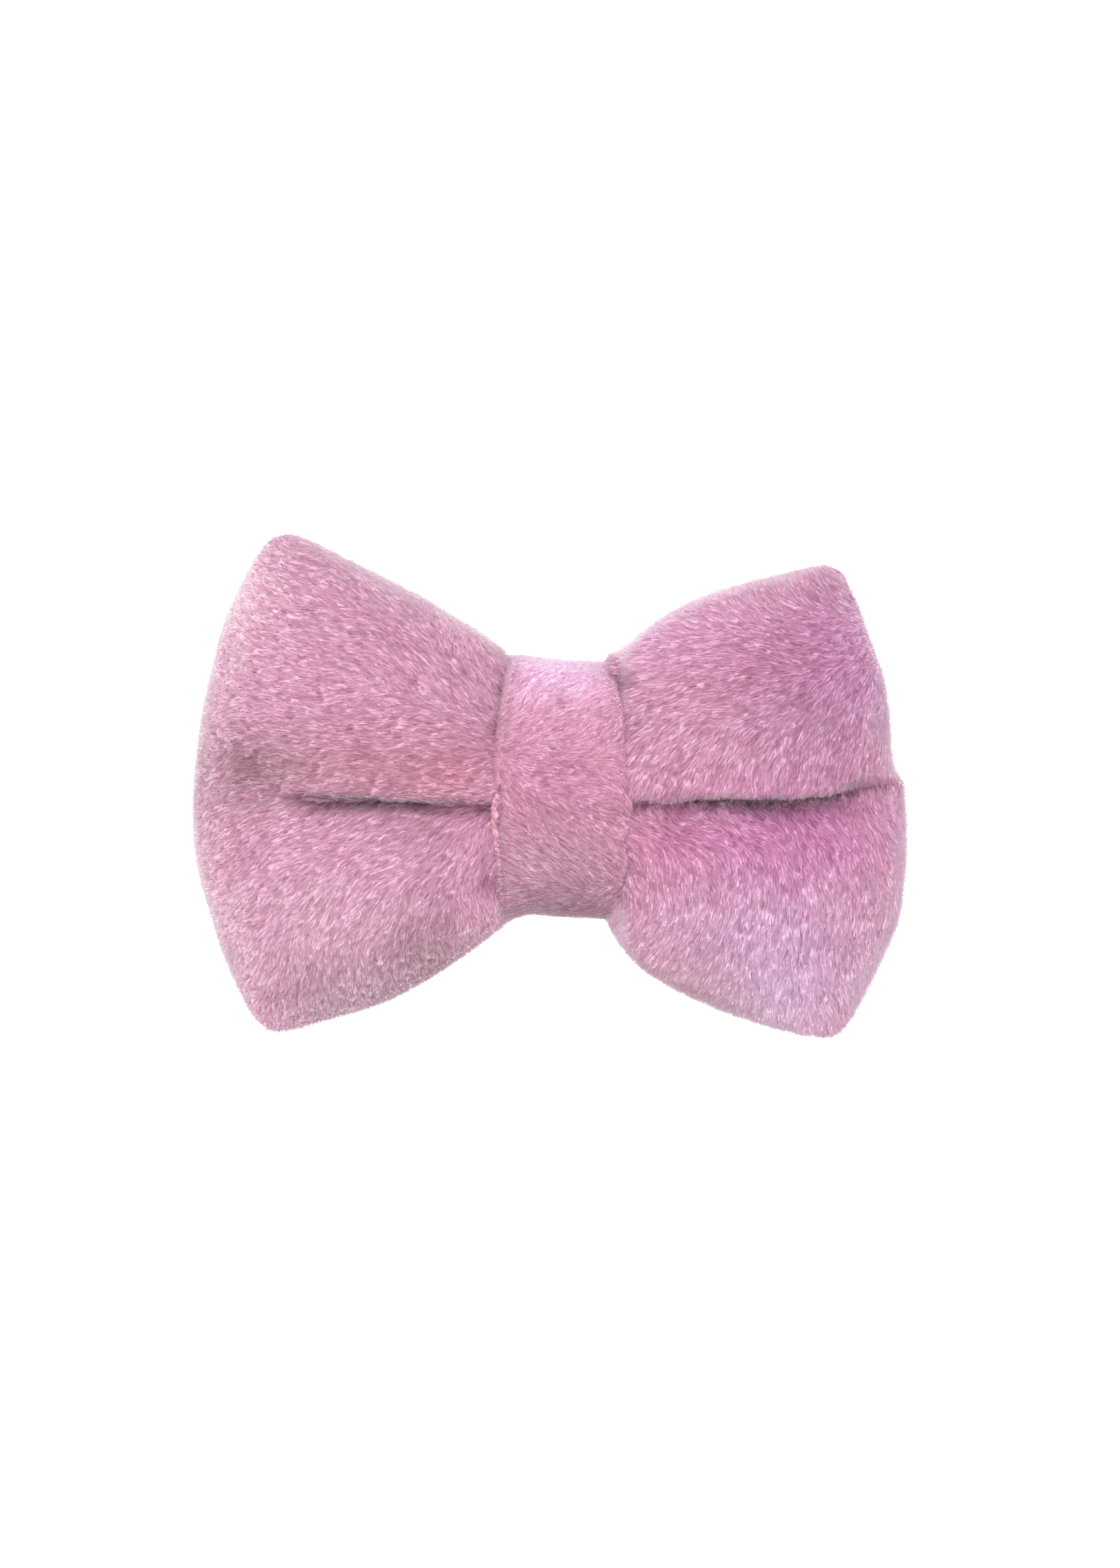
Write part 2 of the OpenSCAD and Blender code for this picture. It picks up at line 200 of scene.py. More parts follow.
def closed_shell(points, inward, flip, thick):
    """Fine outer skin, coarse inner skin and the rim between them."""
    skip = 6
    rows, cols = points.shape[:2]
    row_marks = np.unique(np.r_[np.arange(0, rows - 1, skip), rows - 1])
    col_marks = np.unique(np.r_[np.arange(0, cols - 1, skip), cols - 1])
    depth = np.full((len(row_marks), len(col_marks)), thick)
    depth[0] = depth[-1] = thick * 0.8
    coarse = np.ix_(row_marks, col_marks)
    inner = points[coarse] + inward[coarse] * depth[..., None]
    outer_ids = id_grid(rows, cols)
    inner_ids = rows * cols + id_grid(*depth.shape)
    faces = grid_faces(outer_ids, flip) + grid_faces(inner_ids, not flip)

    def band(outer_line, marks, inner_line, turn):
        for k in range(len(marks) - 1):
            face = [*outer_line[marks[k]:marks[k + 1] + 1], inner_line[k + 1], inner_line[k]]
            faces.append(face[::-1] if turn else face)
    band(outer_ids[:, 0], row_marks, inner_ids[:, 0], not flip)
    band(outer_ids[:, -1], row_marks, inner_ids[:, -1], flip)
    band(outer_ids[0, :], col_marks, inner_ids[0, :], flip)
    band(outer_ids[-1, :], col_marks, inner_ids[-1, :], not flip)
    return np.concatenate([points.reshape(-1, 3), inner.reshape(-1, 3)]), faces


def rgba(colours):
    full = np.ones((len(colours), 4), np.float32)
    full[:, :3] = colours
    return full.ravel()


def make_object(name, points, faces, material, attributes=None):
    """A smooth-shaded object from points in mm."""
    mesh = bpy.data.meshes.new(name)
    mesh.from_pydata((np.asarray(points) * MM).tolist(), [], faces)
    mesh.update()
    mesh.polygons.foreach_set("use_smooth", np.ones(len(mesh.polygons), bool))
    for key, values in (attributes or {}).items():
        values = np.asarray(values, np.float32)
        if values.ndim == 2:
            mesh.attributes.new(key, "FLOAT_COLOR", "POINT").data.foreach_set("color", rgba(values))
        else:
            mesh.attributes.new(key, "FLOAT", "POINT").data.foreach_set("value", values)
    piece = bpy.data.objects.new(name, mesh)
    bpy.context.scene.collection.objects.link(piece)
    mesh.materials.append(material)
    return piece


def face_outward(piece, weld=None):
    """Turns all faces outward; with a weld distance, also merges points and splits big faces."""
    bm = bmesh.new()
    bm.from_mesh(piece.data)
    if weld:
        bmesh.ops.remove_doubles(bm, verts=bm.verts, dist=weld)
    bmesh.ops.recalc_face_normals(bm, faces=bm.faces)
    if weld:
        bmesh.ops.triangulate(bm, faces=[f for f in bm.faces if len(f.verts) > 4])
    bm.to_mesh(piece.data)
    bm.free()


def on_bow(piece, node):
    """Fixes a piece to the bow in place of a CAD node."""
    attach(piece, "bow")
    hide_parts(node)


# ------------------------------------------------------------------ the wings' shape

# Outlines are x, z about the middle of the bow.
# crease: x, z, depth of the long fold across the front
# swell: how far the filling stands up against the sides of the wrap
# dimples: x, z, reach x, reach z, depth
# painted shade in the fold: x, reach below the crease, strength of the shade painted on the pile
# there
# shadows: x, z, reach x, reach z, strength of the shade painted on the pile in dimples and tucks
LEFT = {
    "side": -1,
    "top": [(-8.0, 20.3), (-9.6, 23.8), (-12.9, 26.7), (-18.7, 30.4), (-24.6, 34.1), (-30.5, 37.1),
            (-36.4, 40.1), (-42.3, 43.1), (-46.3, 45.0), (-48.8, 45.6)],
    "out": [(-50.4, -43.8), (-52.6, -43.2), (-54.4, -41.6), (-57.0, -37.1), (-59.9, -30.8),
            (-62.8, -21.9), (-65.0, -14.0), (-65.8, -6.5), (-65.5, 3.0), (-64.2, 12.8),
            (-62.2, 21.7), (-59.9, 30.4), (-57.1, 36.5), (-54.2, 41.8), (-52.0, 44.5),
            (-48.8, 45.6)],
    "bottom": [(-8.0, -20.3), (-9.6, -23.9), (-12.9, -26.7), (-18.7, -31.0), (-24.6, -34.8),
               (-30.5, -37.9), (-36.4, -40.0), (-42.3, -41.6), (-47.0, -43.1), (-50.4, -43.8)],
    "crease": [(-66, 2.0, 0.0), (-54, 0.0, 0.3), (-48, -1.4, 1.3), (-43, -2.0, 3.7),
               (-36, -1.8, 5.8), (-28, -2.2, 5.0), (-20, -3.0, 3.3), (-13, -3.0, 2.6),
               (-8, -2.9, 2.4)],
    "swell": 1.9,
    "dimples": [(-54.0, 2.5, 6.0, 4.6, 2.6), (-11.6, 9.6, 2.2, 2.6, 0.8),
                (-12.4, -17.3, 2.2, 2.2, 1.3)],
    "fold_shade": [(-48, 1.2, 0.45), (-43, 1.5, 0.48), (-38, 1.6, 0.95), (-30, 1.2, 0.85),
                (-22, 0.9, 0.16), (-12, 0.9, 0.40)],
    "shadows": [(-55.0, 4.0, 4.6, 3.6, 0.16), (-12.4, 9.0, 1.8, 4.0, 0.10),
                (-12.8, -17.2, 2.0, 2.8, 0.26)],
}
RIGHT = {
    "side": 1,
    "top": [(6.4, 19.8), (7.4, 22.9), (10.7, 24.9), (16.5, 29.5), (22.4, 33.0), (28.3, 35.3),
            (34.2, 36.9), (40.1, 38.4), (44.0, 39.3), (47.0, 39.8)],
    "out": [(46.4, -44.5), (48.9, -44.1), (50.5, -42.8), (52.2, -40.3), (54.8, -35.4),
            (57.7, -29.4), (59.8, -24.6), (61.1, -17.0), (61.5, -9.5), (61.3, -3.0), (60.9, 1.2),
            (59.5, 3.4), (58.9, 6.4), (58.5, 12.9), (57.7, 18.6), (54.9, 27.1), (52.0, 34.9),
            (50.0, 38.6), (47.0, 39.8)],
    "bottom": [(7.4, -20.3), (8.6, -25.0), (10.7, -28.4), (13.6, -31.6), (19.5, -35.6),
               (25.4, -38.5), (31.2, -40.8), (37.1, -42.6), (42.0, -43.9), (46.4, -44.5)],
    "crease": [(6, -2.4, 2.4), (12.7, -2.5, 2.9), (20, -2.4, 3.6), (28, -1.6, 5.3),
               (36, -1.5, 6.5), (42, -1.5, 5.8), (48, -1.0, 4.4), (52, 0.4, 3.6),
               (58, 0.8, 2.8), (64, 1.4, 2.4)],
    "swell": 2.5,
    "dimples": [(10.6, 19.0, 1.6, 1.8, 0.9), (12.6, -13.0, 1.8, 2.5, 0.4)],
    "fold_shade": [(12, 1.1, 0.26), (20, 1.4, 0.15), (28, 1.6, 0.50), (33, 2.4, 1.0),
                (38, 3.0, 0.75), (43, 3.1, 0.34), (47, 2.0, 0.05), (52, 1.2, 0.40),
                (58, 1.0, 0.38)],
    "shadows": [(10.8, 18.8, 1.9, 1.8, 0.3), (46.0, -3.4, 8.0, 2.0, 0.20)],
}


class Wing:
    """One wing as a sheet over (span, rise).

    span runs from the waist (0) to the outer edge (1), rise from the bottom (-1) to the top (1).
    """

    def __init__(self, spec):
        self.spec = spec
        self.side = spec["side"]
        count = 400
        t = np.linspace(0, 1, count)
        bottom, out, top = (spline(spec[key], t) for key in ("bottom", "out", "top"))
        loop = np.concatenate([bottom, out[1:], top[::-1][1:]])
        tangent = np.gradient(loop, axis=0)
        kernel = np.hanning(15)
        kernel /= kernel.sum()
        padded = np.pad(tangent, ((7, 7), (0, 0)), mode="edge")
        tangent = unit(np.stack([np.convolve(padded[:, c], kernel, mode="valid")
                                 for c in (0, 1)], 1))
        inward = self.side * np.stack([-tangent[:, 1], tangent[:, 0]], 1)
        loop = loop + PILE * inward
        self.bottom = loop[:count]
        self.out = loop[count - 1:2 * count - 1]
        self.top = loop[2 * count - 2:][::-1]

    def crease_at(self, x):
        """Height z and depth of the crease at x."""
        at, height, depth = zip(*self.spec["crease"])
        return np.interp(x, at, height), np.interp(x, at, depth)

    def plane(self, span, rise):
        """The flat sheet: x and z of each (span, rise), blended between the four edges."""
        share = (rise + 1) / 2
        low = point_along(self.bottom, span)
        high = point_along(self.top, span)
        out = point_along(self.out, share)
        up, along = share[..., None], span[..., None]
        waist = (1 - up) * self.bottom[0] + up * self.top[0]
        outer = (1 - up) * self.out[0] + up * self.out[-1]
        return ((1 - along) * waist + along * out + (1 - up) * low + up * high
                - (1 - along) * waist - along * outer)

    def surface(self, span, rise, face, depth, waist=COVER_WAIST, shrink=1.0):
        """(x, y, z) of the filled front or back."""
        flat = self.plane(span * shrink, rise * shrink)
        x, z = flat[..., 0], flat[..., 1]
        away = np.abs(x)
        edge = np.sqrt(np.maximum(1 - np.abs(span) ** 2.5, 0)) ** 0.9
        # fuller towards the top and bottom close to the wrap, where the filling is crowded
        crowd = 0.15 * bell(np.maximum(away - 12.0, 0), 7.0) * (face < 0)
        dome = np.maximum(1 - np.abs(rise) ** 2.15, 0) ** (1 / 2.05 - crowd)
        full = waist + (depth - waist) * ramp(away, 8.5, 26.0) ** 0.8
        if face < 0 and waist == COVER_WAIST:
            full = full + (self.spec["swell"] * ramp(away, 10.0, 2.4)
                           * bell(np.maximum(away - 12.0, 0), 8.0))
        height = full * dome * edge
        # lumps of the filling
        places = np.stack([x, z, np.full_like(x, 9.0 * face)], -1)
        height = height * (1 + 0.030 * noise(places, 17.0, 3)
                           + 0.014 * noise(places, 8.0, 4) * ramp(away, 9, 8))
        # gathers that run out of the waist
        gathers = (np.cos(5.2 * rise + 1.1 * face + 0.6 * self.side)
                   + 0.8 * np.cos(11.3 * rise + 2.0 + self.side)
                   + 0.5 * np.cos(18.1 * rise + 0.7))
        height = height + 0.30 * gathers * bell(away - 12.0, 8.0) * dome
        if face < 0:
            crease_z, deep = self.crease_at(x)
            deep = deep * (1 - span ** 14)
            off = z - crease_z
            # a broad valley, and in it the sharp fold; its upper lip hangs over
            height = height * (1 - 0.10 * bell(off, 8.5) * ramp(away, 10, 12))
            fold = np.where(off < 0, bell(off, 2.2, 1.3), bell(off, 1.4, 1.6))
            height = height - 1.25 * deep * fold
            height = height + 0.22 * deep * bell(off - 3.6, 3.4)
            z = z - 0.29 * deep * bell(off - 2.4, 2.0)
            for *place, sunk in self.spec["dimples"]:
                height = height - sunk * spot(x, z, *place)
        else:
            height = height * (1 - 0.34 * bell(z + 2.0, 4.5) * ramp(46 - away, 0, 34))
        height = np.maximum(height, 0.0)
        # the panels start just either side of the seam
        return np.stack([x, SEAM_Y + face * (0.12 + height), z], -1)


WINGS = (Wing(LEFT), Wing(RIGHT))


# ------------------------------------------------------------------ cloth: the cover is inflated

SIM_SPAN, SIM_RISE = 17, 31     # grid of each wing
SIM_SCALE = 0.01                # mm to solver units, ten times life size to suit the solver
SIM_FRAMES = 20
MOST_MOVE = 2.4


def sim_grid():
    return (np.sin(np.linspace(0, math.pi / 2, SIM_SPAN)),
            np.sin(np.linspace(-math.pi / 2, math.pi / 2, SIM_RISE)))


def sim_cover(span, rise):
    """The coarse closed cover: points, faces, rim mask, front and back ids."""
    sheets = []
    for face, depth in ((FRONT, FRONT_DEPTH), (BACK, BACK_DEPTH)):
        left = WINGS[0].surface(span, rise, face, depth)[::-1]
        right = WINGS[1].surface(span, rise, face, depth)
        grid = np.concatenate([left, right])
        grid[..., 1] = SEAM_Y + (grid[..., 1] - SEAM_Y) * 0.93
        sheets.append(grid)
    front, back = sheets
    rim = np.zeros(front.shape[:2], bool)
    rim[0] = rim[-1] = True
    rim[:, 0] = rim[:, -1] = True
    front[rim, 1] = SEAM_Y
    front_ids = id_grid(*rim.shape)
    rear_ids = back_ids(front_ids, rim)
    points = np.concatenate([front.reshape(-1, 3), back[~rim]])
    faces = grid_faces(front_ids, False) + grid_faces(rear_ids, True)
    return points, faces, rim, front_ids, rear_ids


def pin_weights(points, rim):
    """Held at the waist, along the crease and, partly, round the rim."""
    x, z = points[:, 0], points[:, 2]
    weight = np.clip(1 - (np.abs(x) - 11) / 4.0, 0, 1)
    for wing in WINGS:
        here = (x * wing.side > 0) & (points[:, 1] < SEAM_Y)
        crease_z, deep = wing.crease_at(x)
        weight = np.maximum(weight, here * np.clip(deep / 3, 0, 1) * bell(z - crease_z, 4.0))
    held = np.flatnonzero(rim.ravel())
    weight[held] = np.maximum(weight[held], 0.35)
    return weight


def run_cloth(points, faces, weight):
    """Inflates the cover and hands back its points in mm."""
    mesh = bpy.data.meshes.new("sim")
    mesh.from_pydata((points * SIM_SCALE).tolist(), [], faces)
    mesh.update()
    cover = bpy.data.objects.new("sim", mesh)
    scene = bpy.context.scene
    scene.collection.objects.link(cover)
    pin = cover.vertex_groups.new(name="pin")
    for k in np.nonzero(weight > 0.02)[0]:
        pin.add([int(k)], float(min(1.0, weight[k])), "REPLACE")
    cloth = cover.modifiers.new("cloth", "CLOTH")
    settings = cloth.settings
    settings.quality = 6
    settings.mass = 0.12
    settings.tension_stiffness = 22
    settings.compression_stiffness = 22
    settings.shear_stiffness = 9
    settings.bending_stiffness = 1.2
    settings.use_pressure = True
    settings.uniform_pressure_force = 5.0
    settings.vertex_group_mass = "pin"
    settings.pin_stiffness = 1.0
    settings.shrink_min = -0.03
    settings.effector_weights.gravity = 0
    cloth.collision_settings.use_collision = False
    cloth.collision_settings.use_self_collision = False
    cloth.point_cache.frame_start = 1
    cloth.point_cache.frame_end = SIM_FRAMES
    for number in range(1, SIM_FRAMES + 1):
        scene.frame_set(number)
    solved = cover.evaluated_get(bpy.context.evaluated_depsgraph_get())
    moved = np.zeros(len(points) * 3, np.float32)
    solved.to_mesh().vertices.foreach_get("co", moved)
    solved.to_mesh_clear()
    scene.frame_set(1)
    bpy.data.objects.remove(cover)
    bpy.data.meshes.remove(mesh)
    return moved.reshape(-1, 3) / SIM_SCALE


def puff():
    """How far the cover moves when filled: {(side, face): (SIM_SPAN, SIM_RISE, 3)}."""
    span, rise = np.meshgrid(*sim_grid(), indexing="ij")
    points, faces, rim, front_ids, rear_ids = sim_cover(span, rise)
    move = run_cloth(points, faces, pin_weights(points, rim)) - points
    size = np.linalg.norm(move, axis=1, keepdims=True)
    move *= np.minimum(1.0, MOST_MOVE / np.maximum(size, 1e-6))
    move[np.isnan(move).any(1)] = 0
    # the outline stays as cut: only a little play across the seam plane
    play = 0.5 * (1 - ramp(np.maximum(span, np.abs(rise)), 0.55, 0.35))
    hold = np.ones(span.shape)
    hold[-1] = hold[:, 0] = hold[:, -1] = 0.0
    hold[-2] = np.minimum(hold[-2], 0.6)
    moves = {}
    for face, ids in ((FRONT, front_ids), (BACK, rear_ids)):
        both = move[ids]
        moves[(-1, face)] = both[:SIM_SPAN][::-1]
        moves[(1, face)] = both[SIM_SPAN:]
    for grid in moves.values():
        grid[..., 0] *= play
        grid[..., 2] *= play
        grid *= hold[..., None]
    return moves


def resample(grid, span, rise):
    """Smoothly reads a simulation grid at finer places."""
    sim_span, sim_rise = sim_grid()
    finer = hermite(grid, sim_span, span)
    return np.swapaxes(hermite(np.swapaxes(finer, 0, 1), sim_rise, rise), 0, 1)


PUFF = puff()


# ------------------------------------------------------------------ nap and colour tables

# x, z, angle in degrees that the tips point, from +X towards +Z
NAP_LEFT = [
    (-60, 34, -30), (-50, 38, -24), (-44, 34, -22), (-36, 37, -45), (-26, 32, -55), (-18, 27, -74),
    (-60, 22, -22), (-50, 24, -14), (-38, 25, -18), (-30, 24, -36), (-20, 20, -50), (-12, 20, -60),
    (-62, 12, 0), (-50, 12, -3), (-36, 11, -2), (-24, 10, -8), (-13, 10, -30),
    (-62, 2, 20), (-52, 2, 8), (-38, 2, 6), (-24, 2, 3), (-14, 1, 14),
    (-60, -10, 29), (-46, -10, 22), (-32, -11, 26), (-22, -12, 38), (-14, -12, 66),
    (-60, -22, 38), (-48, -22, 45), (-36, -22, 50), (-24, -23, 72), (-14, -22, 106),
    (-56, -33, 60), (-44, -34, 84), (-34, -35, 98), (-22, -31, 108)]
NAP_RIGHT = [
    (16, 28, 176), (24, 31, 165), (34, 34, 143), (44, 36, 140), (50, 34, 150),
    (10, 22, 190), (18, 22, 186), (28, 24, 176), (38, 24, 162), (48, 25, 190), (55, 24, 208),
    (12, 12, 214), (20, 15, 200), (30, 15, 190), (38, 16, 200), (48, 16, 232), (56, 16, 242),
    (12, 6, 232), (20, 6, 228), (30, 7, 240), (40, 6, 252), (50, 6, 252), (57, 8, 262),
    (14, -1, 235), (26, -1, 240), (38, 0, 250), (50, 1, 252), (58, 3, 256),
    (14, -7, 330), (24, -7, 344), (34, -8, 330), (46, -7, 318), (57, -6, 290),
    (12, -16, 300), (20, -15, 286), (32, -15, 276), (44, -15, 282), (57, -15, 285),
    (12, -25, 236), (20, -24, 248), (32, -24, 262), (44, -24, 262), (56, -24, 258),
    (16, -33, 232), (26, -34, 238), (36, -34, 262), (46, -36, 280), (54, -33, 276)]
NAP_WRAP = [
    (0, 21, 238), (-7, 17, 236), (2, 17, 212), (9, 17, 208), (-7, 9, 200), (1, 9, 196),
    (9, 9, 228), (-7, 2, 156), (1, 2, 172), (9, 2, 178), (-7, -6, 150), (1, -6, 148),
    (9, -6, 160), (-7, -14, 154), (1, -14, 150), (9, -14, 130), (-7, -21, 160), (1, -21, 156),
    (9, -21, 226)]

BASE = linear((214, 150, 181)) * np.array([0.570, 0.630, 0.601])
# soft patches of lighter, greyer or deeper pile, partly its own tone and partly painted light and
# shade, such as the darker lower left: x, z, reach x, reach z, red, green, blue gains
ZONES_FRONT = [
    (-44, -24, 18, 14, 1.05, 1.19, 1.10),
    (44, 16, 16, 14, 0.85, 0.90, 0.92),
    (36, -28, 20, 12, 0.98, 1.15, 1.18),
    (40, -8, 18, 8, 0.93, 0.72, 0.93),
    (-62, 0, 8, 34, 0.92, 0.92, 0.91),
    (-56, 34, 10, 10, 1.13, 1.29, 1.17),
    (-54, 3, 10, 7, 0.79, 0.86, 0.77),
    (-34, 4, 14, 7, 0.86, 0.82, 0.77),
    (-18, 2, 9, 7, 0.96, 0.86, 0.85),
    (-38, -38, 13, 7, 0.69, 0.78, 0.72),
    (-22, -31, 9, 8, 0.61, 0.65, 0.60),
    (14, 24, 8, 8, 1.13, 1.18, 1.18),
    (26, 30, 11, 8, 1.14, 1.16, 1.20),
    (36, 20, 13, 10, 0.94, 0.80, 0.87),
    (52, 24, 9, 12, 0.87, 0.72, 0.90),
    (18, -9, 9, 6, 0.97, 0.81, 0.89),
    (22, -36, 11, 8, 0.89, 0.90, 0.81),
    (38, -39, 12, 8, 1.01, 1.19, 1.15),
]
# on the wrap the patches are mostly painted light and shade: the top paler, the bottom darker; the
# last row lightens the whole wrap evenly
ZONES_WRAP = [
    (0, 21, 14, 6, 1.38, 1.73, 1.73),
    (0, -2, 14, 8, 0.84, 0.77, 0.81),
    (-5, -13, 9, 8, 0.89, 0.99, 0.91),
    (7, -13, 8, 8, 0.85, 0.89, 0.85),
    (0, -22, 14, 6, 0.58, 0.58, 0.58),
    (0, 0, 60, 60, 1.12, 1.09, 1.08),
]


def nap_angle(table, x, z, reach=6.5):
    """Blends the table's directions by nearness."""
    cosine = sine = 0.0
    for near_x, near_z, degrees in table:
        weight = 1.0 / (1e-3 + ((x - near_x) ** 2 + (z - near_z) ** 2) / reach**2) ** 1.6
        cosine = cosine + weight * math.cos(math.radians(degrees))
        sine = sine + weight * math.sin(math.radians(degrees))
    return np.arctan2(sine, cosine)


def tint(x, z, zones):
    colour = np.broadcast_to(BASE, x.shape + (3,)).copy()
    for *place, red, green, blue in zones:
        colour *= np.array([red, green, blue]) ** spot(x, z, *place)[..., None]
    return colour


# ------------------------------------------------------------------ sheets: fine grids with pile

STROKE = 1.4            # length of a stroke in the brushed pile
STROKE_STEPS = 10


def drawn_strokes(seed, row_rate, col_rate):
    """Grains of noise drawn out along the nap and cut off at their tips."""
    rows, cols = row_rate.shape
    grain = np.random.default_rng(seed).standard_normal((rows, cols))
    for axis in (0, 1):
        grain = (np.roll(grain, 1, axis) + 8 * grain + np.roll(grain, -1, axis)) / 10
    grain /= grain.std()
    step = STROKE / STROKE_STEPS
    row_at, col_at = np.meshgrid(np.arange(rows, dtype=float), np.arange(cols, dtype=float),
                                 indexing="ij")
    total = np.zeros((rows, cols))
    for k in range(STROKE_STEPS):
        row_in = np.clip(row_at, 0, rows - 1.001)
        col_in = np.clip(col_at, 0, cols - 1.001)
        row, col = row_in.astype(int), col_in.astype(int)
        value = bilinear(grain, row, col, row_in - row, col_in - col)
        total += value * (0.35 + 0.65 * k / STROKE_STEPS)
        row_at -= row_rate[row, col] * step
        col_at -= col_rate[row, col] * step
    total /= total.std()
    return np.clip(total, -2.2, 2.2)


class Sheet:
    """A fine grid of points with its normals and nap, for a mesh and its pile.

    bare is the cloth, points the cloth raised by its strokes. angle is the nap's direction in
    `plane`, the sheet laid flat. Later steps add tint, outline (how near the outline) and lit
    (how much light from above reaches the outline). rim says the sheet's border is an edge.
    """

    def __init__(self, points, angle, plane, flip, seed, pile, relief_mask):
        self.flip = flip
        self.rim = True
        along, across = tangents(points)
        self.normal = self.normals(along, across)
        # nap direction as steps over the grid, from the flat cloth
        flat_along, flat_across = tangents(plane)
        det = (flat_along[..., 0] * flat_across[..., 1]
               - flat_along[..., 1] * flat_across[..., 0])
        det = np.where(np.abs(det) < 1e-5, 1e-5 * np.where(det < 0, -1, 1), det)
        nap_x, nap_z = np.cos(angle), np.sin(angle)
        row_step = (flat_across[..., 1] * nap_x - flat_across[..., 0] * nap_z) / det
        col_step = (-flat_along[..., 1] * nap_x + flat_along[..., 0] * nap_z) / det
        lie = row_step[..., None] * along + col_step[..., None] * across
        length = np.maximum(np.linalg.norm(lie, axis=-1), 0.25)
        self.lie = unit(lie)
        # grid steps per mm of cloth
        self.row_rate = row_step / length
        self.col_rate = col_step / length
        self.stroke = drawn_strokes(seed, self.row_rate, self.col_rate)
        self.bare = points
        self.points = points + self.normal * (pile * self.stroke * relief_mask)[..., None]
        self.facing = self.normals(*tangents(self.points))

    def normals(self, along, across):
        return unit(np.cross(along, across)) * (-1 if self.flip else 1)


# ------------------------------------------------------------------ materials

# vector sockets of a Map Range node, which share their names with the scalar ones
VECTOR_FROM_MIN, VECTOR_FROM_MAX, VECTOR_TO_MIN, VECTOR_TO_MAX = 7, 8, 9, 10


class Shader:
    """A new material; most methods add one node and hand back its output socket."""

    def __init__(self, name):
        self.material = bpy.data.materials.new(name)
        self.material.use_nodes = True
        self.tree = self.material.node_tree
        self.tree.nodes.clear()
        self.output = self.add("OutputMaterial")

    def add(self, kind, inputs=(), **settings):
        """Adds a node; inputs maps each socket to a value or to the socket that feeds it."""
        node = self.tree.nodes.new("ShaderNode" + kind)
        for key, value in settings.items():
            setattr(node, key, value)
        for key, value in dict(inputs).items():
            if isinstance(value, bpy.types.NodeSocket):
                self.tree.links.new(value, node.inputs[key])
            else:
                node.inputs[key].default_value = value
        return node

    def coords(self):
        return self.add("TexCoord").outputs["Object"]

    def attribute(self, name, output):
        return self.add("Attribute", attribute_name=name).outputs[output]

    def noise(self, vector, scale, detail, **more):
        inputs = {"Vector": vector, "Scale": scale, "Detail": detail, **more}
        return self.add("TexNoise", inputs).outputs["Fac"]

    def map_range(self, value, low, high, start=0.0, end=1.0):
        """Maps start..end to low..high."""
        return self.add("MapRange", {"Value": value, "From Min": start, "From Max": end,
                                     "To Min": low, "To Max": high}).outputs[0]

    def math(self, operation, *values):
        return self.add("Math", enumerate(values), operation=operation).outputs[0]

    def scaled(self, vector, factor):
        return self.add("VectorMath", {0: vector, "Scale": factor}, operation="SCALE").outputs[0]

    def bump(self, height, strength, distance):
        return self.add("Bump", {"Height": height, "Strength": strength,
                                 "Distance": distance}).outputs[0]

    def principled(self, inputs):
        return self.add("BsdfPrincipled", inputs).outputs[0]

    def finish(self, surface):
        self.tree.links.new(surface, self.output.inputs[0])
        return self.material


def plush_material(name):
    """Velour cloth under its pile: patchy colour, strokes with painted shade in their hollows and
    painted highlights on their tips, fine fibre bump.
    """
    shader = Shader(name)
    colour = shader.attribute("tint", "Color")
    stroke = shader.attribute("stroke", "Fac")
    # painted shade and highlight: the tint follows the strokes' relief, darker and deeper low,
    # paler high
    gain = shader.add("MapRange", {"Vector": stroke,
                                   VECTOR_FROM_MIN: (-1.8, -1.8, -1.8),
                                   VECTOR_FROM_MAX: (1.8, 1.8, 1.8),
                                   VECTOR_TO_MIN: (0.74, 0.56, 0.64),
                                   VECTOR_TO_MAX: (1.14, 1.28, 1.21)}, data_type="FLOAT_VECTOR")
    fine = shader.noise(shader.coords(), scale=2600, detail=3)
    mottle = shader.map_range(fine, low=0.94, high=1.06)
    stroked = shader.add("VectorMath", {0: colour, 1: gain.outputs["Vector"]},
                         operation="MULTIPLY").outputs[0]
    return shader.finish(shader.principled({
        "Base Color": shader.scaled(stroked, mottle),
        "Roughness": 0.85,
        "Specular IOR Level": 0.2,
        "Sheen Weight": 0.8,
        "Sheen Roughness": 0.42,
        "Sheen Tint": (1.0, 0.90, 0.95, 1),
        "Normal": shader.bump(fine, strength=0.35, distance=0.0002),
    }))


def pile_material(name):
    """One fibre of the pile: painted shade makes it darker at the root and paler at the tip, lets
    some light through.
    So fine a pile shades as its tuft does, so the tuft's own facing is used."""
    shader = Shader(name)
    tuft = shader.attribute("tint", "Color")
    facing = shader.attribute("facing", "Vector")
    along = shader.add("HairInfo").outputs["Intercept"]
    # painted shade: darker towards the root, where the pile, which casts no shadows, would shade
    # itself
    colour = shader.scaled(tuft, shader.map_range(along, low=0.86, high=1.05))
    cloth = shader.principled({
        "Base Color": colour,
        "Roughness": 0.75,
        "Specular IOR Level": 0.15,
        "Sheen Weight": 0.8,
        "Sheen Roughness": 0.36,
        "Sheen Tint": (1.0, 0.92, 0.96, 1),
        "Normal": facing,
    })
    through = shader.add("BsdfTranslucent", {"Color": colour}).outputs[0]
    share_through = 0.3
    return shader.finish(shader.add("MixShader", {0: share_through, 1: cloth,
                                                  2: through}).outputs[0])


def fibre_material(name, colour, scale, rough=0.95, sheen=0.5, spread=0.12, bump=0.4,
                   distance=0.0002):
    """Felt, wadding and thread: fibrous colour and bump from twisted noise."""
    shader = Shader(name)
    fibres = shader.noise(shader.coords(), scale, detail=5, Distortion=1.2)
    gain = shader.map_range(fibres, low=1 - spread, high=1 + spread, start=0.3, end=0.7)
    return shader.finish(shader.principled({
        "Base Color": shader.scaled(tuple(linear(colour)), gain),
        "Roughness": rough,
        "Sheen Weight": sheen,
        "Specular IOR Level": 0.25,
        "Normal": shader.bump(fibres, bump, distance),
    }))


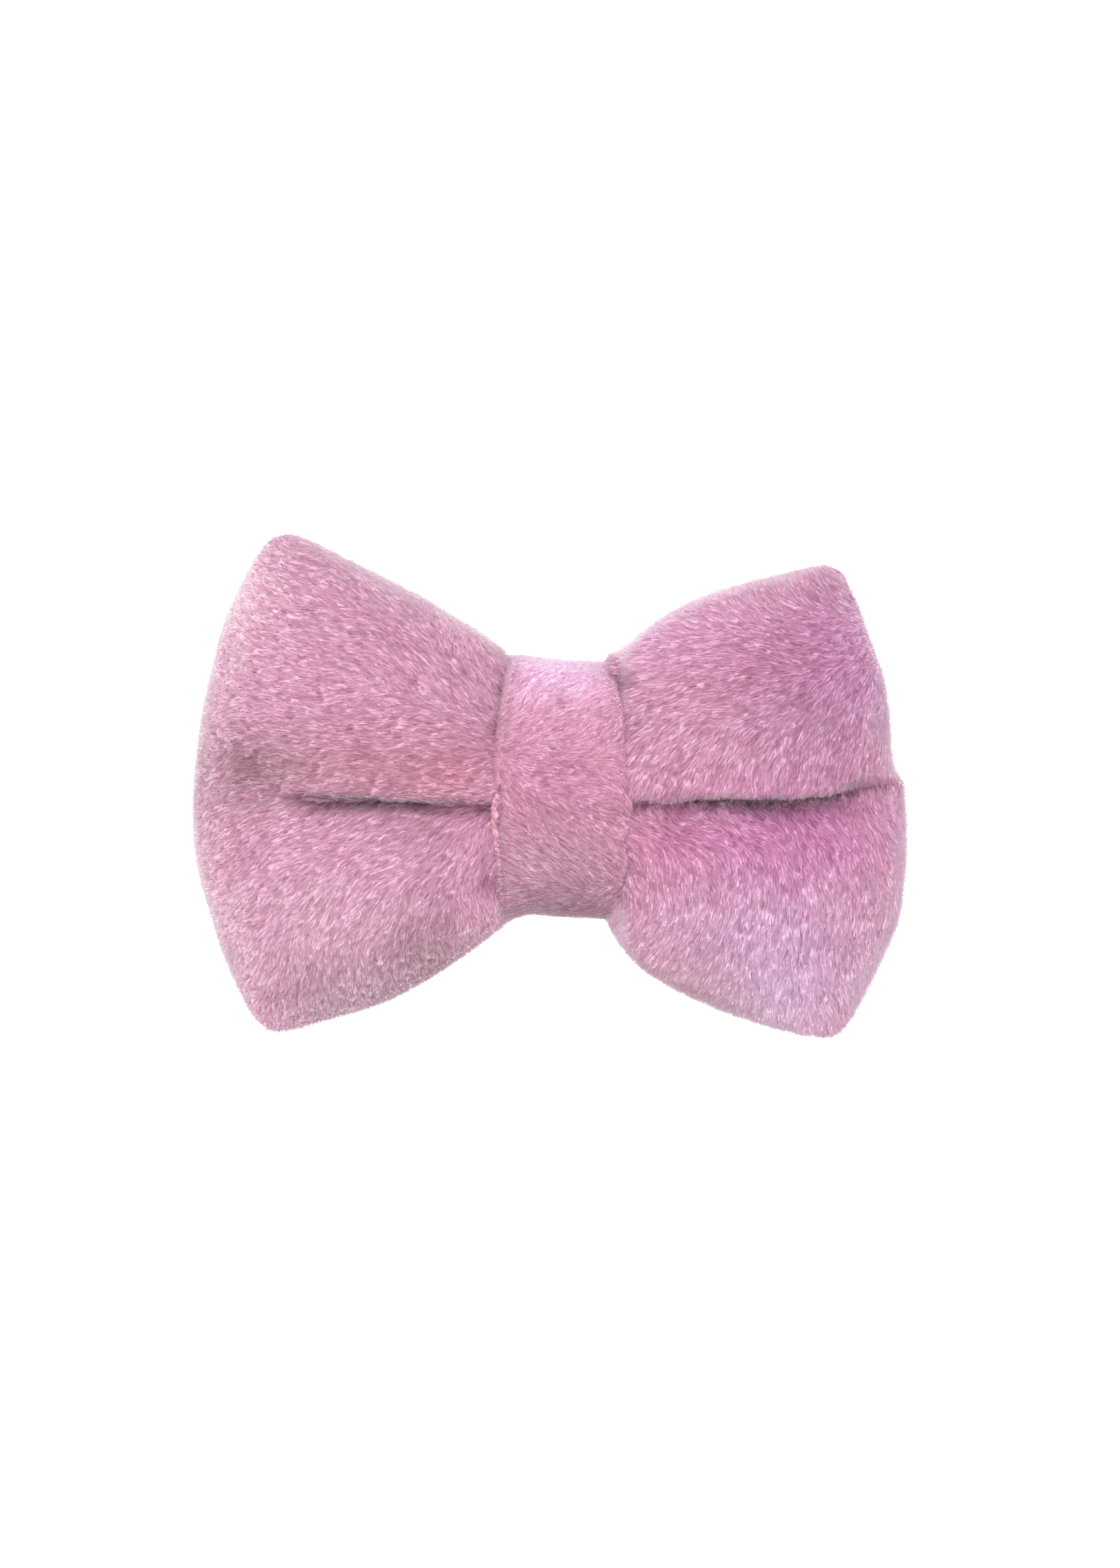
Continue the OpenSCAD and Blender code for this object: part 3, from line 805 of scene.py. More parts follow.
def steel_material(name, colour, rough, grain=(1, 1, 1)):
    """Plated steel: fine marks, drawn out where grain is below 1, and cloudy roughness."""
    vary = 0.1
    shader = Shader(name)
    coords = shader.coords()
    stretched = shader.add("Mapping", {"Vector": coords, "Scale": grain}).outputs[0]
    marks = shader.noise(stretched, scale=5200, detail=4)
    cloud = shader.noise(coords, scale=260, detail=3)
    both = shader.math("ADD", marks, cloud)
    roughness = shader.map_range(both, low=rough - vary, high=rough + vary, start=0.6, end=1.4)
    gain = shader.map_range(cloud, low=0.9, high=1.04, start=0.3, end=0.7)
    return shader.finish(shader.principled({
        "Metallic": 1.0,
        "Roughness": roughness,
        "Base Color": shader.scaled(tuple(linear(colour)), gain),
        "Normal": shader.bump(marks, strength=0.08, distance=0.00005),
    }))


def glue_material(name):
    """Milky hot glue, unevenly glossy."""
    shader = Shader(name)
    cloud = shader.noise(shader.coords(), scale=350, detail=3)
    mix_factor, mix_first, mix_second, mix_colour = 0, 6, 7, 2      # sockets for colours
    colour = shader.add("Mix", {mix_first: (*linear((238, 232, 214)), 1),
                                mix_second: (*linear((226, 214, 190)), 1),
                                mix_factor: cloud}, data_type="RGBA").outputs[mix_colour]
    return shader.finish(shader.principled({
        "Roughness": shader.map_range(cloud, low=0.25, high=0.5),
        "Base Color": colour,
        "Subsurface Weight": 0.4,
        "Subsurface Scale": 0.001,
        "Coat Weight": 0.2,
    }))


def ribbon_material(name):
    """Grosgrain: fine threads across Z in colour and bump, over the geometry's own ribs."""
    thread_pitch = 0.00024      # metres
    shader = Shader(name)
    coords = shader.coords()
    height = shader.add("SeparateXYZ", {0: coords}).outputs["Z"]
    angle = shader.math("MULTIPLY", height, 2 * math.pi / thread_pitch)
    wave = shader.math("SINE", angle)
    fine = shader.noise(coords, scale=1500, detail=3)
    thread_gain = shader.map_range(wave, low=0.94, high=1.05, start=-1, end=1)
    fine_gain = shader.map_range(fine, low=0.9, high=1.1)
    gain = shader.math("MULTIPLY", thread_gain, fine_gain)
    return shader.finish(shader.principled({
        "Base Color": shader.scaled(tuple(linear((200, 142, 168))), gain),
        "Roughness": 0.55,
        "Sheen Weight": 0.4,
        "Normal": shader.bump(wave, strength=0.25, distance=0.00005),
    }))


def paper_material(name):
    """Pale backdrop paper that glows a little."""
    shader = Shader(name)
    paper = shader.add("BsdfDiffuse", {"Color": (0.90, 0.90, 0.90, 1)}).outputs[0]
    glow = shader.add("Emission", {"Color": (1, 1, 1, 1), "Strength": 0.62}).outputs[0]
    return shader.finish(shader.add("AddShader", {0: paper, 1: glow}).outputs[0])


PLUSH = plush_material("velour")
PLUSH_BACK = plush_material("velour_back")
PLUSH_WRAP = plush_material("velour_wrap")
PILE_MATERIAL = pile_material("pile_fibre")
THREAD = fibre_material("sewing_thread", (176, 108, 140), scale=2400, rough=0.6, sheen=0.3,
                        spread=0.1, bump=0.5, distance=0.0001)
WADDING = fibre_material("wadding", (244, 243, 238), scale=420, spread=0.06, bump=0.8,
                         distance=0.0006)
FELT = fibre_material("pressed_felt", (190, 130, 158), scale=1100, bump=0.7, distance=0.00025)
RIBBON = ribbon_material("grosgrain")
GLUE = glue_material("hot_melt")
CLIP_STEEL = steel_material("plated_sheet", (136, 137, 140), rough=0.27, grain=(0.06, 1, 1))
PIN_STEEL = steel_material("pin_steel", (138, 139, 142), rough=0.32)
SPRING_STEEL = steel_material("spring_wire", (124, 126, 130), rough=0.33)


# ------------------------------------------------------------------ plush panels

def painted_fold_shade(wing, plane, points):
    """How much shade is painted on the pile in the fold, the dimples and the tucks, 0..1."""
    crease_z, deep = wing.crease_at(plane[..., 0])
    off = plane[..., 1] - crease_z
    at, reach, dark = zip(*wing.spec["fold_shade"])
    reach = np.interp(plane[..., 0], at, reach)
    dark = np.interp(plane[..., 0], at, dark)
    shade = (dark * np.clip(1.6 * (deep / 6.0), 0, 1)
             * np.where(off > 0, bell(off, 0.8), bell(off, reach, 1.8)))
    for *place, much in wing.spec["shadows"]:
        shade = np.maximum(shade, much * spot(points[..., 0], points[..., 2], *place))
    return shade


def wing_sheet(wing, face, rows, cols, seed, nap, zones, pile):
    even = np.linspace(0, 1, rows)
    span_line = np.sin(np.linspace(0, math.pi / 2, rows)) * 0.8 + even * 0.2
    even = np.linspace(-1, 1, cols)
    rise_line = np.sin(even * math.pi / 2) * 0.75 + even * 0.25
    span, rise = np.meshgrid(span_line, rise_line, indexing="ij")
    high = np.abs(rise)
    points = wing.surface(span, rise, face, FRONT_DEPTH if face < 0 else BACK_DEPTH)
    if PUFF:
        points = points + resample(PUFF[(wing.side, face)], span_line, rise_line)
    # the rim turns in at the seam
    tuck = np.maximum(ramp(span, 0.985, 0.015), ramp(high, 0.985, 0.015)) * ramp(span, 0.02, 0.05)
    towards = np.array([wing.side * 34.0, SEAM_Y, 0.0]) - points
    towards[..., 1] = 0
    points = points + unit(towards) * (0.22 * tuck)[..., None]

    plane = wing.plane(span, rise)
    x, z = plane[..., 0], plane[..., 1]
    if nap is None:
        angle = -math.pi / 2 + 0.35 * noise(np.stack([x, z, 0 * x], -1), 22, 40)
    else:
        angle = nap_angle(nap, x, z)
    angle = angle + 0.22 * noise(np.stack([x, z, 7 + 0 * x], -1), 5.0, seed + 5)
    sheet = Sheet(points, angle, plane, flip=face * wing.side > 0, seed=seed, pile=pile,
                  relief_mask=1 - 0.9 * ramp(span, 0.98, 0.02))
    sheet.tint = tint(points[..., 0], points[..., 2], zones)
    if face < 0:
        # painted shade: the pile's tint is darkened in the crease, the dimples and the tucks
        dark = np.array([0.25, 0.15, 0.21])
        sheet.tint = sheet.tint * dark ** painted_fold_shade(wing, plane, points)[..., None]
    # painted sheen: the outline is seen along its pile, so its tint is made paler where light from
    # above reaches it
    sheet.outline = (np.maximum(ramp(span, 0.80, 0.15), ramp(high, 0.72, 0.2))
                     * ramp(span, 0.04, 0.1))
    sheet.lit = ((0.05 + 0.95 * ramp(sheet.normal[..., 2], -0.85, 0.8))
                 * (1 - 0.4 * np.clip(sheet.normal[..., 0], 0, 1) ** 2))
    glow = (sheet.lit * sheet.outline * (1 - np.abs(sheet.normal[..., 1])) ** 1.6)[..., None]
    sheet.tint = sheet.tint * (1 + glow * np.array([0.42, 0.90, 0.62]))
    core = wing.plane(span * 0.8, rise * 0.75)
    middle = np.stack([core[..., 0], np.full_like(span, SEAM_Y), core[..., 1]], -1)
    sheet.inward = unit(middle - sheet.points)
    return sheet


def waist_bridge(sheets, face):
    """The short run of cloth under the wrap that joins the wings, nipped by the thread."""
    left, right = (sheet.bare[0] for sheet in sheets)
    t = np.linspace(0, 1, 12)[:, None, None]
    points = left * (1 - t) + right * t
    nip = np.sin(math.pi * t[..., 0]) ** 0.6
    points[..., 1] = SEAM_Y + (points[..., 1] - SEAM_Y) * (1 - 0.05 * nip)
    points[..., 2] *= 1 - 0.07 * nip
    axis = np.stack([points[..., 0], np.full(points.shape[:2], SEAM_Y), points[..., 2] * 0.6], -1)
    return closed_shell(points, unit(axis - points + 1e-9), face > 0, thick=1.2)


def panel(name, node, face, rows, cols, naps, zones, pile, material):
    sheets = [wing_sheet(wing, face, rows, cols, 100 + 10 * k + face, naps[k], zones, pile)
              for k, wing in enumerate(WINGS)]
    parts, tints, strokes = [], [], []
    for sheet in sheets:
        shell = closed_shell(sheet.points, sheet.inward, sheet.flip, thick=1.8)
        inner = len(shell[0]) - rows * cols
        parts.append(shell)
        tints += [sheet.tint.reshape(-1, 3), np.tile(BASE * 0.8, (inner, 1))]
        strokes += [sheet.stroke.ravel(), np.zeros(inner)]
    bridge = waist_bridge(sheets, face)
    parts.append(bridge)
    tints.append(np.tile(BASE * 0.8, (len(bridge[0]), 1)))
    strokes.append(np.zeros(len(bridge[0])))
    points, faces = join_parts(parts)
    piece = make_object(name, points, faces, material,
                        {"tint": np.concatenate(tints), "stroke": np.concatenate(strokes)})
    on_bow(piece, node)
    return sheets


FINE = 1.0
front_sheets = panel("plush_front", "front_panel", FRONT, rows=int(172 * FINE),
                     cols=int(280 * FINE), naps=(NAP_LEFT, NAP_RIGHT), zones=ZONES_FRONT,
                     pile=0.16, material=PLUSH)
back_sheets = panel("plush_back", "back_panel", BACK, rows=int(130 * FINE),
                    cols=int(214 * FINE), naps=(None, None), zones=[],
                    pile=0.15, material=PLUSH_BACK)


# ------------------------------------------------------------------ the wrap

WRAP_Y, WRAP_Z = 12.7, 22.3     # outer half sizes of the loop
WRAP_THICK = 2.5
WRAP_BACK_HALF = 11.6           # half width of the strip behind
WRAP_UNROLL = 18.0              # mm of strip to a radian round the loop
# z, x of the strip's edges in front
WRAP_LEFT = [(-23, -10.6), (-17, -10.9), (-10, -11.4), (-5, -11.6), (2, -11.1), (9, -10.3),
             (17, -9.3), (23, -8.3)]
WRAP_RIGHT = [(-23, 9.7), (-17, 10.4), (-11, 11.4), (-4, 11.8), (2, 11.8), (7, 11.4),
              (17, 9.9), (23, 8.0)]


def wrap_edges(z):
    """x of the left and right edge of the wrap's front at height z."""
    return [np.interp(z, *zip(*table)) for table in (WRAP_LEFT, WRAP_RIGHT)]


def wrap_section(count):
    """Closed section of the strip: outer face, folded edge, inner face, folded edge.

    Gives the place across (-1..1), the depth (0 outer, 1 inner) and the bulge of the edges.
    """
    outer = int(count * 0.66)
    edge = max(6, int(count * 0.07))
    inner = count - outer - 2 * edge
    even = np.linspace(-1, 1, outer, endpoint=False)
    part = np.arange(edge) / edge
    swell = np.sin(part * math.pi)
    across = np.concatenate([0.45 * np.sin(even * math.pi / 2) + 0.55 * even, np.full(edge, 1.0),
                             np.linspace(1, -1, inner, endpoint=False), np.full(edge, -1.0)])
    depth = np.concatenate([np.zeros(outer), part, np.ones(inner), 1 - part])
    bulge = np.concatenate([np.zeros(outer), swell, np.zeros(inner), -swell])
    return across, depth, bulge


def wrap_grid(rounds, count):
    """Points, angle round the loop (0 in front, a quarter turn at the top), place across, depth."""
    section, depth, bulge = wrap_section(count)
    angle, across = np.meshgrid(np.linspace(0, 2 * math.pi, rounds + 1), section, indexing="ij")
    depth = np.broadcast_to(depth, angle.shape)
    bulge = np.broadcast_to(bulge, angle.shape)
    cosine, sine = np.cos(angle), np.sin(angle)
    ring_y, ring_z = oval(angle, 2.35)
    ring_y = -ring_y
    height = WRAP_Z * ring_z
    left, right = wrap_edges(height)
    front = ramp(cosine, -0.2, 0.5)
    left = left * front - WRAP_BACK_HALF * (1 - front)
    right = right * front + WRAP_BACK_HALF * (1 - front)
    # crown across the strip, pressed in at its edges, with the left folded edge a fine roll
    inset = 1 - np.abs(across)
    crown = ((0.7 * (1 - np.abs(across) ** 2.2) - 0.6 * bell(inset, 0.10))
             * (1 - 0.85 * np.abs(sine) ** 3))
    roll = (0.28 + 0.27 * bell(height + 5.0, 8.0)) * bell(across + 0.985, 0.018)
    pinch = -0.45 * bell(across + 0.925, 0.035)
    lumps = 0.35 * noise(np.stack([across * 12, height, angle * 6], -1), 9.0, 31)
    grow = (crown + (roll + pinch) * front + lumps) * (1 - depth) - depth * WRAP_THICK
    out = unit(np.stack([ring_y / WRAP_Y, ring_z / WRAP_Z], -1) + 1e-9)
    x = (left + right) / 2 + (right - left) / 2 * across + bulge * 0.7
    y = SEAM_Y + ring_y * WRAP_Y + out[..., 0] * grow
    z = height + out[..., 1] * grow
    # a shallow groove across the back, under the closing stitches
    y = y - 0.8 * bell(angle - math.pi, 0.035) * (1 - depth)
    # the strip was wrapped a little askew
    z = z - 0.085 * x * ramp(cosine, -0.6, 0.8)
    # the bottom corners hang lower than the middle, the left one most
    z = z - ramp(-sine, 0.55, 0.4) * (2.3 * np.clip((-x - 4.5) / 6.0, 0, 1) ** 1.6
                                      + 0.5 * np.clip((x - 5.0) / 5.0, 0, 1) ** 2)
    return np.stack([x, y, z], -1), angle, across, depth


def wrap_tint(x, z, cosine, across, depth):
    colour = tint(x, z, ZONES_WRAP)
    behind = (1 - ramp(cosine, -0.3, 0.4))[..., None]
    colour = colour * (1 - behind) + BASE * 0.97 * behind
    # painted highlight: the folded edge on the left is tinted to a pale salmon line, strongest a
    # little below the middle
    fold = bell(across + 1.0, 0.028) * (1 - depth) * ramp(cosine, -0.1, 0.4)
    fold = (fold * (0.35 + 0.65 * bell(z + 5.0, 9.0)))[..., None]
    return colour * (1 + fold * np.array([0.20, 0.06, 0.02]))


def lapped(grid):
    """Repeats the first and last columns beyond the ends, to close the grid for derivatives."""
    return np.concatenate([grid[:, -1:], grid, grid[:, :1]], 1)


def wrap_piece():
    rounds, count = ((540, 160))
    points, angle, across, depth = wrap_grid(rounds, count)
    x, z, cosine = points[..., 0], points[..., 2], np.cos(angle)
    # the nap table is read where the strip faces forward, the rest lies down the strip
    nap = np.where(cosine > 0.1, nap_angle(NAP_WRAP, x, z, 5.0), -math.pi / 2)
    nap = nap + 0.3 * noise(np.stack([x, angle * WRAP_UNROLL, 3 + 0 * x], -1), 4.0, 77)
    closed = lapped(points)
    across_mm = length_along(closed[rounds // 8])
    plane = np.stack([np.broadcast_to(across_mm, closed.shape[:2]),
                      lapped(angle) * WRAP_UNROLL], -1)
    sheet = Sheet(closed, lapped(nap), plane, flip=True, seed=55, pile=0.12,
                  relief_mask=lapped(ramp(0.3 - depth, 0, 0.3)))
    for key in ("points", "bare", "normal", "lie", "facing", "stroke"):
        setattr(sheet, key, getattr(sheet, key)[:, 1:-1])
    sheet.points[-1] = sheet.points[0]
    sheet.tint = wrap_tint(x, z, cosine, across, depth)

    ids = id_grid(rounds, count)
    after = np.roll(ids, -1, 0)
    faces = np.stack([ids, np.roll(ids, -1, 1), np.roll(after, -1, 1), after], -1)
    piece = make_object("plush_wrap", sheet.points[:-1].reshape(-1, 3),
                        faces.reshape(-1, 4).tolist(), PLUSH_WRAP,
                        {"tint": sheet.tint[:-1].reshape(-1, 3),
                         "stroke": sheet.stroke[:-1].ravel()})
    on_bow(piece, "center_wrap")

    # pile only on the outer face and the rolled edges
    sheet.outline = np.ones_like(across)
    # how much light from above reaches, for the painted sheen on the wrap's fringe
    sheet.lit = 0.1 + 0.9 * ramp(sheet.normal[..., 2], -0.85, 0.8)
    sheet.rim = False
    keep = np.r_[np.arange(count - 5, count), np.arange(0, int(np.argmax(depth[0] > 0.6)))]
    for key in ("points", "bare", "normal", "lie", "tint", "facing", "stroke", "outline", "lit"):
        setattr(sheet, key, getattr(sheet, key)[:, keep])
    return sheet


wrap_fine = wrap_piece()


# ------------------------------------------------------------------ pile

def outside_wrap(points):
    """Fibres grow where the wings are open to the air."""
    return (np.abs(points[..., 0]) > 8.3).astype(float)


def wrap_open(points):
    """Clear of the felt behind, and thin on the folded edge on the left in front."""
    x, y, z = points[..., 0], points[..., 1], points[..., 2]
    under_felt = (np.abs(z) < 6.2) & (y > SEAM_Y + 12.0)
    fold = (x < wrap_edges(z)[0] + 0.1) & (y < SEAM_Y) & (z > -14) & (z < 2)
    return np.where(under_felt, 0.0, 1.0) * np.where(fold, 0.15, 1.0)


def cell_areas(points):
    corner = points[:-1, :-1]
    return np.linalg.norm(np.cross(points[1:, :-1] - corner, points[:-1, 1:] - corner), axis=-1)


def scatter(rng, area, per_mm2, even):
    """Picks random places by area: their grid cells, and a reader of grids at those places."""
    count = int(area.sum() * per_mm2)
    share = rng.random(count)
    if even:
        share = (np.arange(count) + share) / count
    total = np.cumsum(area.ravel())
    pick = np.minimum(np.searchsorted(total, share * total[-1]), area.size - 1)
    row, col = pick // area.shape[1], pick % area.shape[1]
    row_part, col_part = rng.random(count)[:, None], rng.random(count)[:, None]
    return row, col, lambda grid: bilinear(grid, row, col, row_part, col_part)


def make_fibres(name, strands, radii, colours, facing):
    """Hair curves from strands (count, steps, 3) in mm; radii run from root to tip."""
    count, steps = strands.shape[:2]
    curves = bpy.data.hair_curves.new(name)
    curves.add_curves([steps] * count)
    curves.points.foreach_set("position", (strands * MM).astype(np.float32).ravel())
    radius = (curves.attributes.get("radius")
              or curves.attributes.new("radius", "FLOAT", "POINT"))
    radius.data.foreach_set("value", np.tile(np.array(radii) * MM, count).astype(np.float32))
    colour = curves.attributes.new("tint", "FLOAT_COLOR", "CURVE")
    colour.data.foreach_set("color", rgba(np.clip(colours, 0.005, 1)))
    normal = curves.attributes.new("facing", "FLOAT_VECTOR", "CURVE")
    normal.data.foreach_set("vector", facing.astype(np.float32).ravel())
    curves.materials.append(PILE_MATERIAL)
    piece = bpy.data.objects.new(name, curves)
    bpy.context.scene.collection.objects.link(piece)
    # pile this fine lets the light through to the cloth, which does the shadowing
    piece.visible_shadow = False
    piece.visible_diffuse = False
    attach(piece, "bow")


def clipped_reach(sheet, row, col, length):
    """Where the nap runs off the edge the pile is shorter, so the outline stays even."""
    if not sheet.rim:
        return np.ones(len(row))
    rows, cols = sheet.points.shape[:2]
    row_run = sheet.row_rate[row, col] * length
    col_run = sheet.col_rate[row, col] * length
    row_over = np.clip((row + row_run - (rows - 1)) / np.maximum(np.abs(row_run), 1e-6), 0, 1)
    col_over = np.maximum(col + col_run - (cols - 1), -(col + col_run))
    col_over = np.clip(col_over / np.maximum(np.abs(col_run), 1e-6), 0, 1)
    return 1 - 0.62 * np.maximum(row_over, col_over)


def comb(sheets, name, per_mm2, per_tuft, seed, window, length=1.28, frizz=5, soft=1.0):
    """Pile as fine curves in tufts: each tuft lies along the nap over the next, and its
    fibres close towards the tip. frizz is the tufts' stray in degrees, soft their varied facing."""
    rise_root, rise_tip = 20, 1     # degrees from the cloth
    width = 0.09                    # half width of a tuft
    thick = 0.030
    steps = 5
    rng = np.random.default_rng(seed)
    frames, tints, room = [], [], []
    for sheet in sheets:
        area = cell_areas(sheet.points) * window(sheet.points[:-1, :-1])
        row, col, at = scatter(rng, area, per_mm2, even=True)
        frames.append(np.stack([at(sheet.points), unit(at(sheet.normal)), unit(at(sheet.lie)),
                                unit(at(sheet.facing))], 1))
        # painted shade and highlight: fibres over raised strokes a little paler, over hollows a
        # little darker
        tints.append(at(sheet.tint) * (1 + 0.05 * at(sheet.stroke[..., None])))
        room.append(clipped_reach(sheet, row, col, length))
    root, normal, nap, facing = np.moveaxis(np.concatenate(frames), 1, 0)
    tints = np.concatenate(tints)
    count = len(root)
    side = unit(np.cross(normal, nap))
    # each tuft turns a little from the nap, with its neighbours
    turn = np.radians(rng.normal(0, frizz, count) + 9 * noise(root, 2.6, seed))[:, None]
    lie = unit(nap * np.cos(turn) + side * np.sin(turn))
    side = np.cross(normal, lie)
    reach = length * np.clip(rng.normal(1, 0.12, count), 0.7, 1.3) * np.concatenate(room)
    up = np.radians(np.clip(rise_root + rng.normal(0, 4, count)
                            + 5 * noise(root, 3.0, seed + 1), 8, 85))
    down = np.radians(np.clip(rise_tip + rng.normal(0, 3, count), -8, 30))
    curl = rng.normal(0, 0.16, count)
    spine = [root]
    for k in range(steps - 1):
        part = k / (steps - 2)
        angle = (up + (down - up) * part ** 0.7)[:, None]
        heading = lie * np.cos(angle) + normal * np.sin(angle) + side * (curl * part)[:, None]
        spine.append(spine[-1] + unit(heading) * (reach / (steps - 1))[:, None])
    path = np.stack(spine, 1) - root[:, None]

    across = rng.uniform(-1, 1, (count, per_tuft))
    along = rng.uniform(-1, 1, (count, per_tuft))
    sideways = (across * width)[..., None] * side[:, None]
    offset = (along * width * 2.5)[..., None] * lie[:, None] + sideways
    grow = np.clip(rng.normal(1, 0.10, (count, per_tuft)), 0.7, 1.3)[..., None, None]
    strand = root[:, None, None] + offset[:, :, None] + path[:, None] * grow
    wild = np.radians(rng.normal(0, 4.5, (count, per_tuft)))[..., None]
    t = np.linspace(0, 1, steps)
    swing = (np.tan(wild) * (t * reach[:, None, None] * 0.8))[..., None] * side[:, None, None]
    pull = (0.62 * t ** 1.5)[None, None, :, None]
    strand = strand + swing - sideways[:, :, None] * pull
    # the middle of a tuft lies highest
    strand = strand + ((0.05 * (1 - across**2))[..., None, None]
                       * (t ** 0.6)[None, None, :, None] * normal[:, None, None])

    side_turn = 0.12 * soft * across + 0.26 * soft * rng.normal(0, 1, (count, 1))
    lie_turn = 0.04 + 0.26 * soft * rng.normal(0, 1, (count, 1))
    facing = unit(facing[:, None] + side[:, None] * side_turn[..., None]
                  + lie[:, None] * lie_turn[..., None])
    shade = (1 + rng.normal(0, 0.16, (count, 1, 1)) + rng.normal(0, 0.02, (count, per_tuft, 1))
             + 0.05 * noise(root, 4.5, seed + 9)[:, None, None])
    cool = rng.normal(0, 0.010, (count, per_tuft))
    colours = tints[:, None] * np.maximum(shade, 0.3) ** np.array([0.72, 1.45, 1.05])
    colours[..., 1] *= 1 + cool * 1.5
    colours[..., 2] *= 1 + cool
    make_fibres(name, strand.reshape(-1, steps, 3),
                np.array([1.0, 1.0, 0.9, 0.72, 0.3]) * thick,
                colours.reshape(-1, 3), facing.reshape(-1, 3))


def fringe(sheets, name, per_mm2, seed, window, length=0.95):
    """Short upright fibres along the outline, seen against the light as a soft pale edge, with a
    painted sheen in their tint where light from above reaches.
    """
    thick = 0.028
    rng = np.random.default_rng(seed)
    frames, tints = [], []
    for sheet in sheets:
        near = ((np.abs(sheet.normal[:-1, :-1, 1]) < 0.62)
                * (sheet.outline[:-1, :-1] > 0.05))
        area = cell_areas(sheet.bare) * near * window(sheet.bare[:-1, :-1])
        _, _, at = scatter(rng, area, per_mm2, even=False)
        frames.append(np.stack([at(sheet.bare), unit(at(sheet.normal)), unit(at(sheet.lie))], 1))
        # painted sheen: fibres are paler where light from above reaches the outline
        glow = at(sheet.lit[..., None]) * np.array([0.50, 0.95, 0.70])
        tints.append(at(sheet.tint) * (1 + glow))
    root, normal, nap = np.moveaxis(np.concatenate(frames), 1, 0)
    count = len(root)
    side = np.cross(normal, nap)
    up = unit(normal + nap * rng.normal(0.45, 0.25, count)[:, None]
              + side * rng.normal(0, 0.25, count)[:, None])
    bend = (nap * rng.normal(0.5, 0.2, count)[:, None]
            + side * rng.normal(0, 0.2, count)[:, None]) * 0.35
    reach = (length * np.clip(rng.normal(1, 0.15, count), 0.6, 1.35))[:, None, None]
    t = np.linspace(0, 1, 4)[None, :, None]
    strand = root[:, None] + up[:, None] * (reach * t) + bend[:, None] * (reach * t ** 2)
    colours = np.concatenate(tints) * (1 + rng.normal(0, 0.05, (count, 1)))
    make_fibres(name, strand, np.array([1, 0.9, 0.7, 0.3]) * thick, colours,
                unit(normal + 0.3 * up))


DENSITY = 1.0
comb(front_sheets, "pile_front", per_mm2=5.0 * DENSITY, per_tuft=5, seed=21, window=outside_wrap)
comb(back_sheets, "pile_back", per_mm2=4.0 * DENSITY, per_tuft=4, seed=22, window=outside_wrap,
     soft=0.8)
fringe(front_sheets + back_sheets, "pile_edge", per_mm2=14 * DENSITY, seed=24,
       window=outside_wrap)
fringe([wrap_fine], "pile_wrap_edge", per_mm2=16 * DENSITY, seed=25, window=wrap_open,
       length=0.75)
comb([wrap_fine], "pile_wrap", per_mm2=6.0 * DENSITY, per_tuft=5, seed=23, window=wrap_open,
     length=1.15, frizz=8)


# ------------------------------------------------------------------ filling

def wad(name, node, wing):
    """Loose fibre, pushed into the wing: lumpy, with a closed mouth at the waist."""
    rows, cols = 30, 44
    clearance = 2.6
    span, rise = np.meshgrid(0.12 + 0.86 * np.sin(np.linspace(0, math.pi / 2, rows)),
                             np.sin(np.linspace(-math.pi / 2, math.pi / 2, cols)) * 0.97,
                             indexing="ij")
    sheets = []
    for face, depth in ((FRONT, FRONT_DEPTH), (BACK, BACK_DEPTH)):
        points = wing.surface(span, rise, face, depth - clearance, waist=6.0, shrink=0.93)
        middle = np.array([wing.side * 34.0, SEAM_Y, 0.0])
        lump = noise(points, 6.0, 61) * 0.9 + noise(points, 2.6, 62) * 0.5
        sheets.append(points + unit(points - middle) * (np.minimum(lump, 0.3) - 0.4)[..., None])
    front, back = sheets
    seam = np.zeros((rows, cols), bool)
    seam[:, 0] = seam[:, -1] = True
    seam[-1] = True
    front[seam] = ((front + back) / 2)[seam]
    front_ids = id_grid(rows, cols)
    rear_ids = back_ids(front_ids, seam)
    flip = wing.side > 0
    faces = grid_faces(front_ids, not flip) + grid_faces(rear_ids, flip)
    for j in range(cols - 1):
        corners = (front_ids[0, j], front_ids[0, j + 1], rear_ids[0, j + 1], rear_ids[0, j])
        face = list(dict.fromkeys(int(k) for k in corners))
        faces.append(face if flip else face[::-1])
    piece = make_object(name, np.concatenate([front.reshape(-1, 3), back[~seam]]), faces, WADDING)
    face_outward(piece)
    on_bow(piece, node)


wad("wadding_left", "left_filling", WINGS[0])
wad("wadding_right", "right_filling", WINGS[1])


# ------------------------------------------------------------------ thread

def taper(count, tip):
    """Radius factor along a path: 1, easing to `tip` at both ends."""
    from_end = np.minimum(np.arange(count), np.arange(count)[::-1])
    return np.minimum(1, tip + (1 - tip) * from_end / 1.5)


def tube(path, radius, sides, twist=0.0, lobes=0.0):
    """A capped round or two-ply strand along a path: (points, faces)."""
    count = len(path)
    heading = unit(np.gradient(path, axis=0))
    start = np.array([0.0, 1.0, 0.0]) if abs(heading[0][1]) < 0.9 else np.array([1.0, 0, 0])
    first = np.zeros_like(path)
    first[0] = unit(np.cross(heading[0], start))
    for k in range(1, count):
        first[k] = unit(first[k - 1] - heading[k] * (first[k - 1] @ heading[k]))
    second = np.cross(heading, first)
    angle = np.linspace(0, 2 * math.pi, sides, endpoint=False)
    ply = np.cos(2 * (angle[None] - twist * length_along(path)[:, None]))
    radii = radius[:, None] * (1 + lobes * ply)
    points = path[:, None] + radii[..., None] * (np.cos(angle)[None, :, None] * first[:, None]
                                                 + np.sin(angle)[None, :, None] * second[:, None])
    ids = id_grid(count, sides)
    faces = ring_faces(ids) + [ids[0][::-1].tolist(), ids[-1].tolist()]
    return points.reshape(-1, 3), faces


def thread_piece(name, paths, node, radius):
    parts = [tube(path, radius * taper(len(path), 0.35), sides=10, twist=4.2, lobes=0.14)
             for path in paths]
    piece = make_object(name, *join_parts(parts), THREAD)
    face_outward(piece)
    on_bow(piece, node)


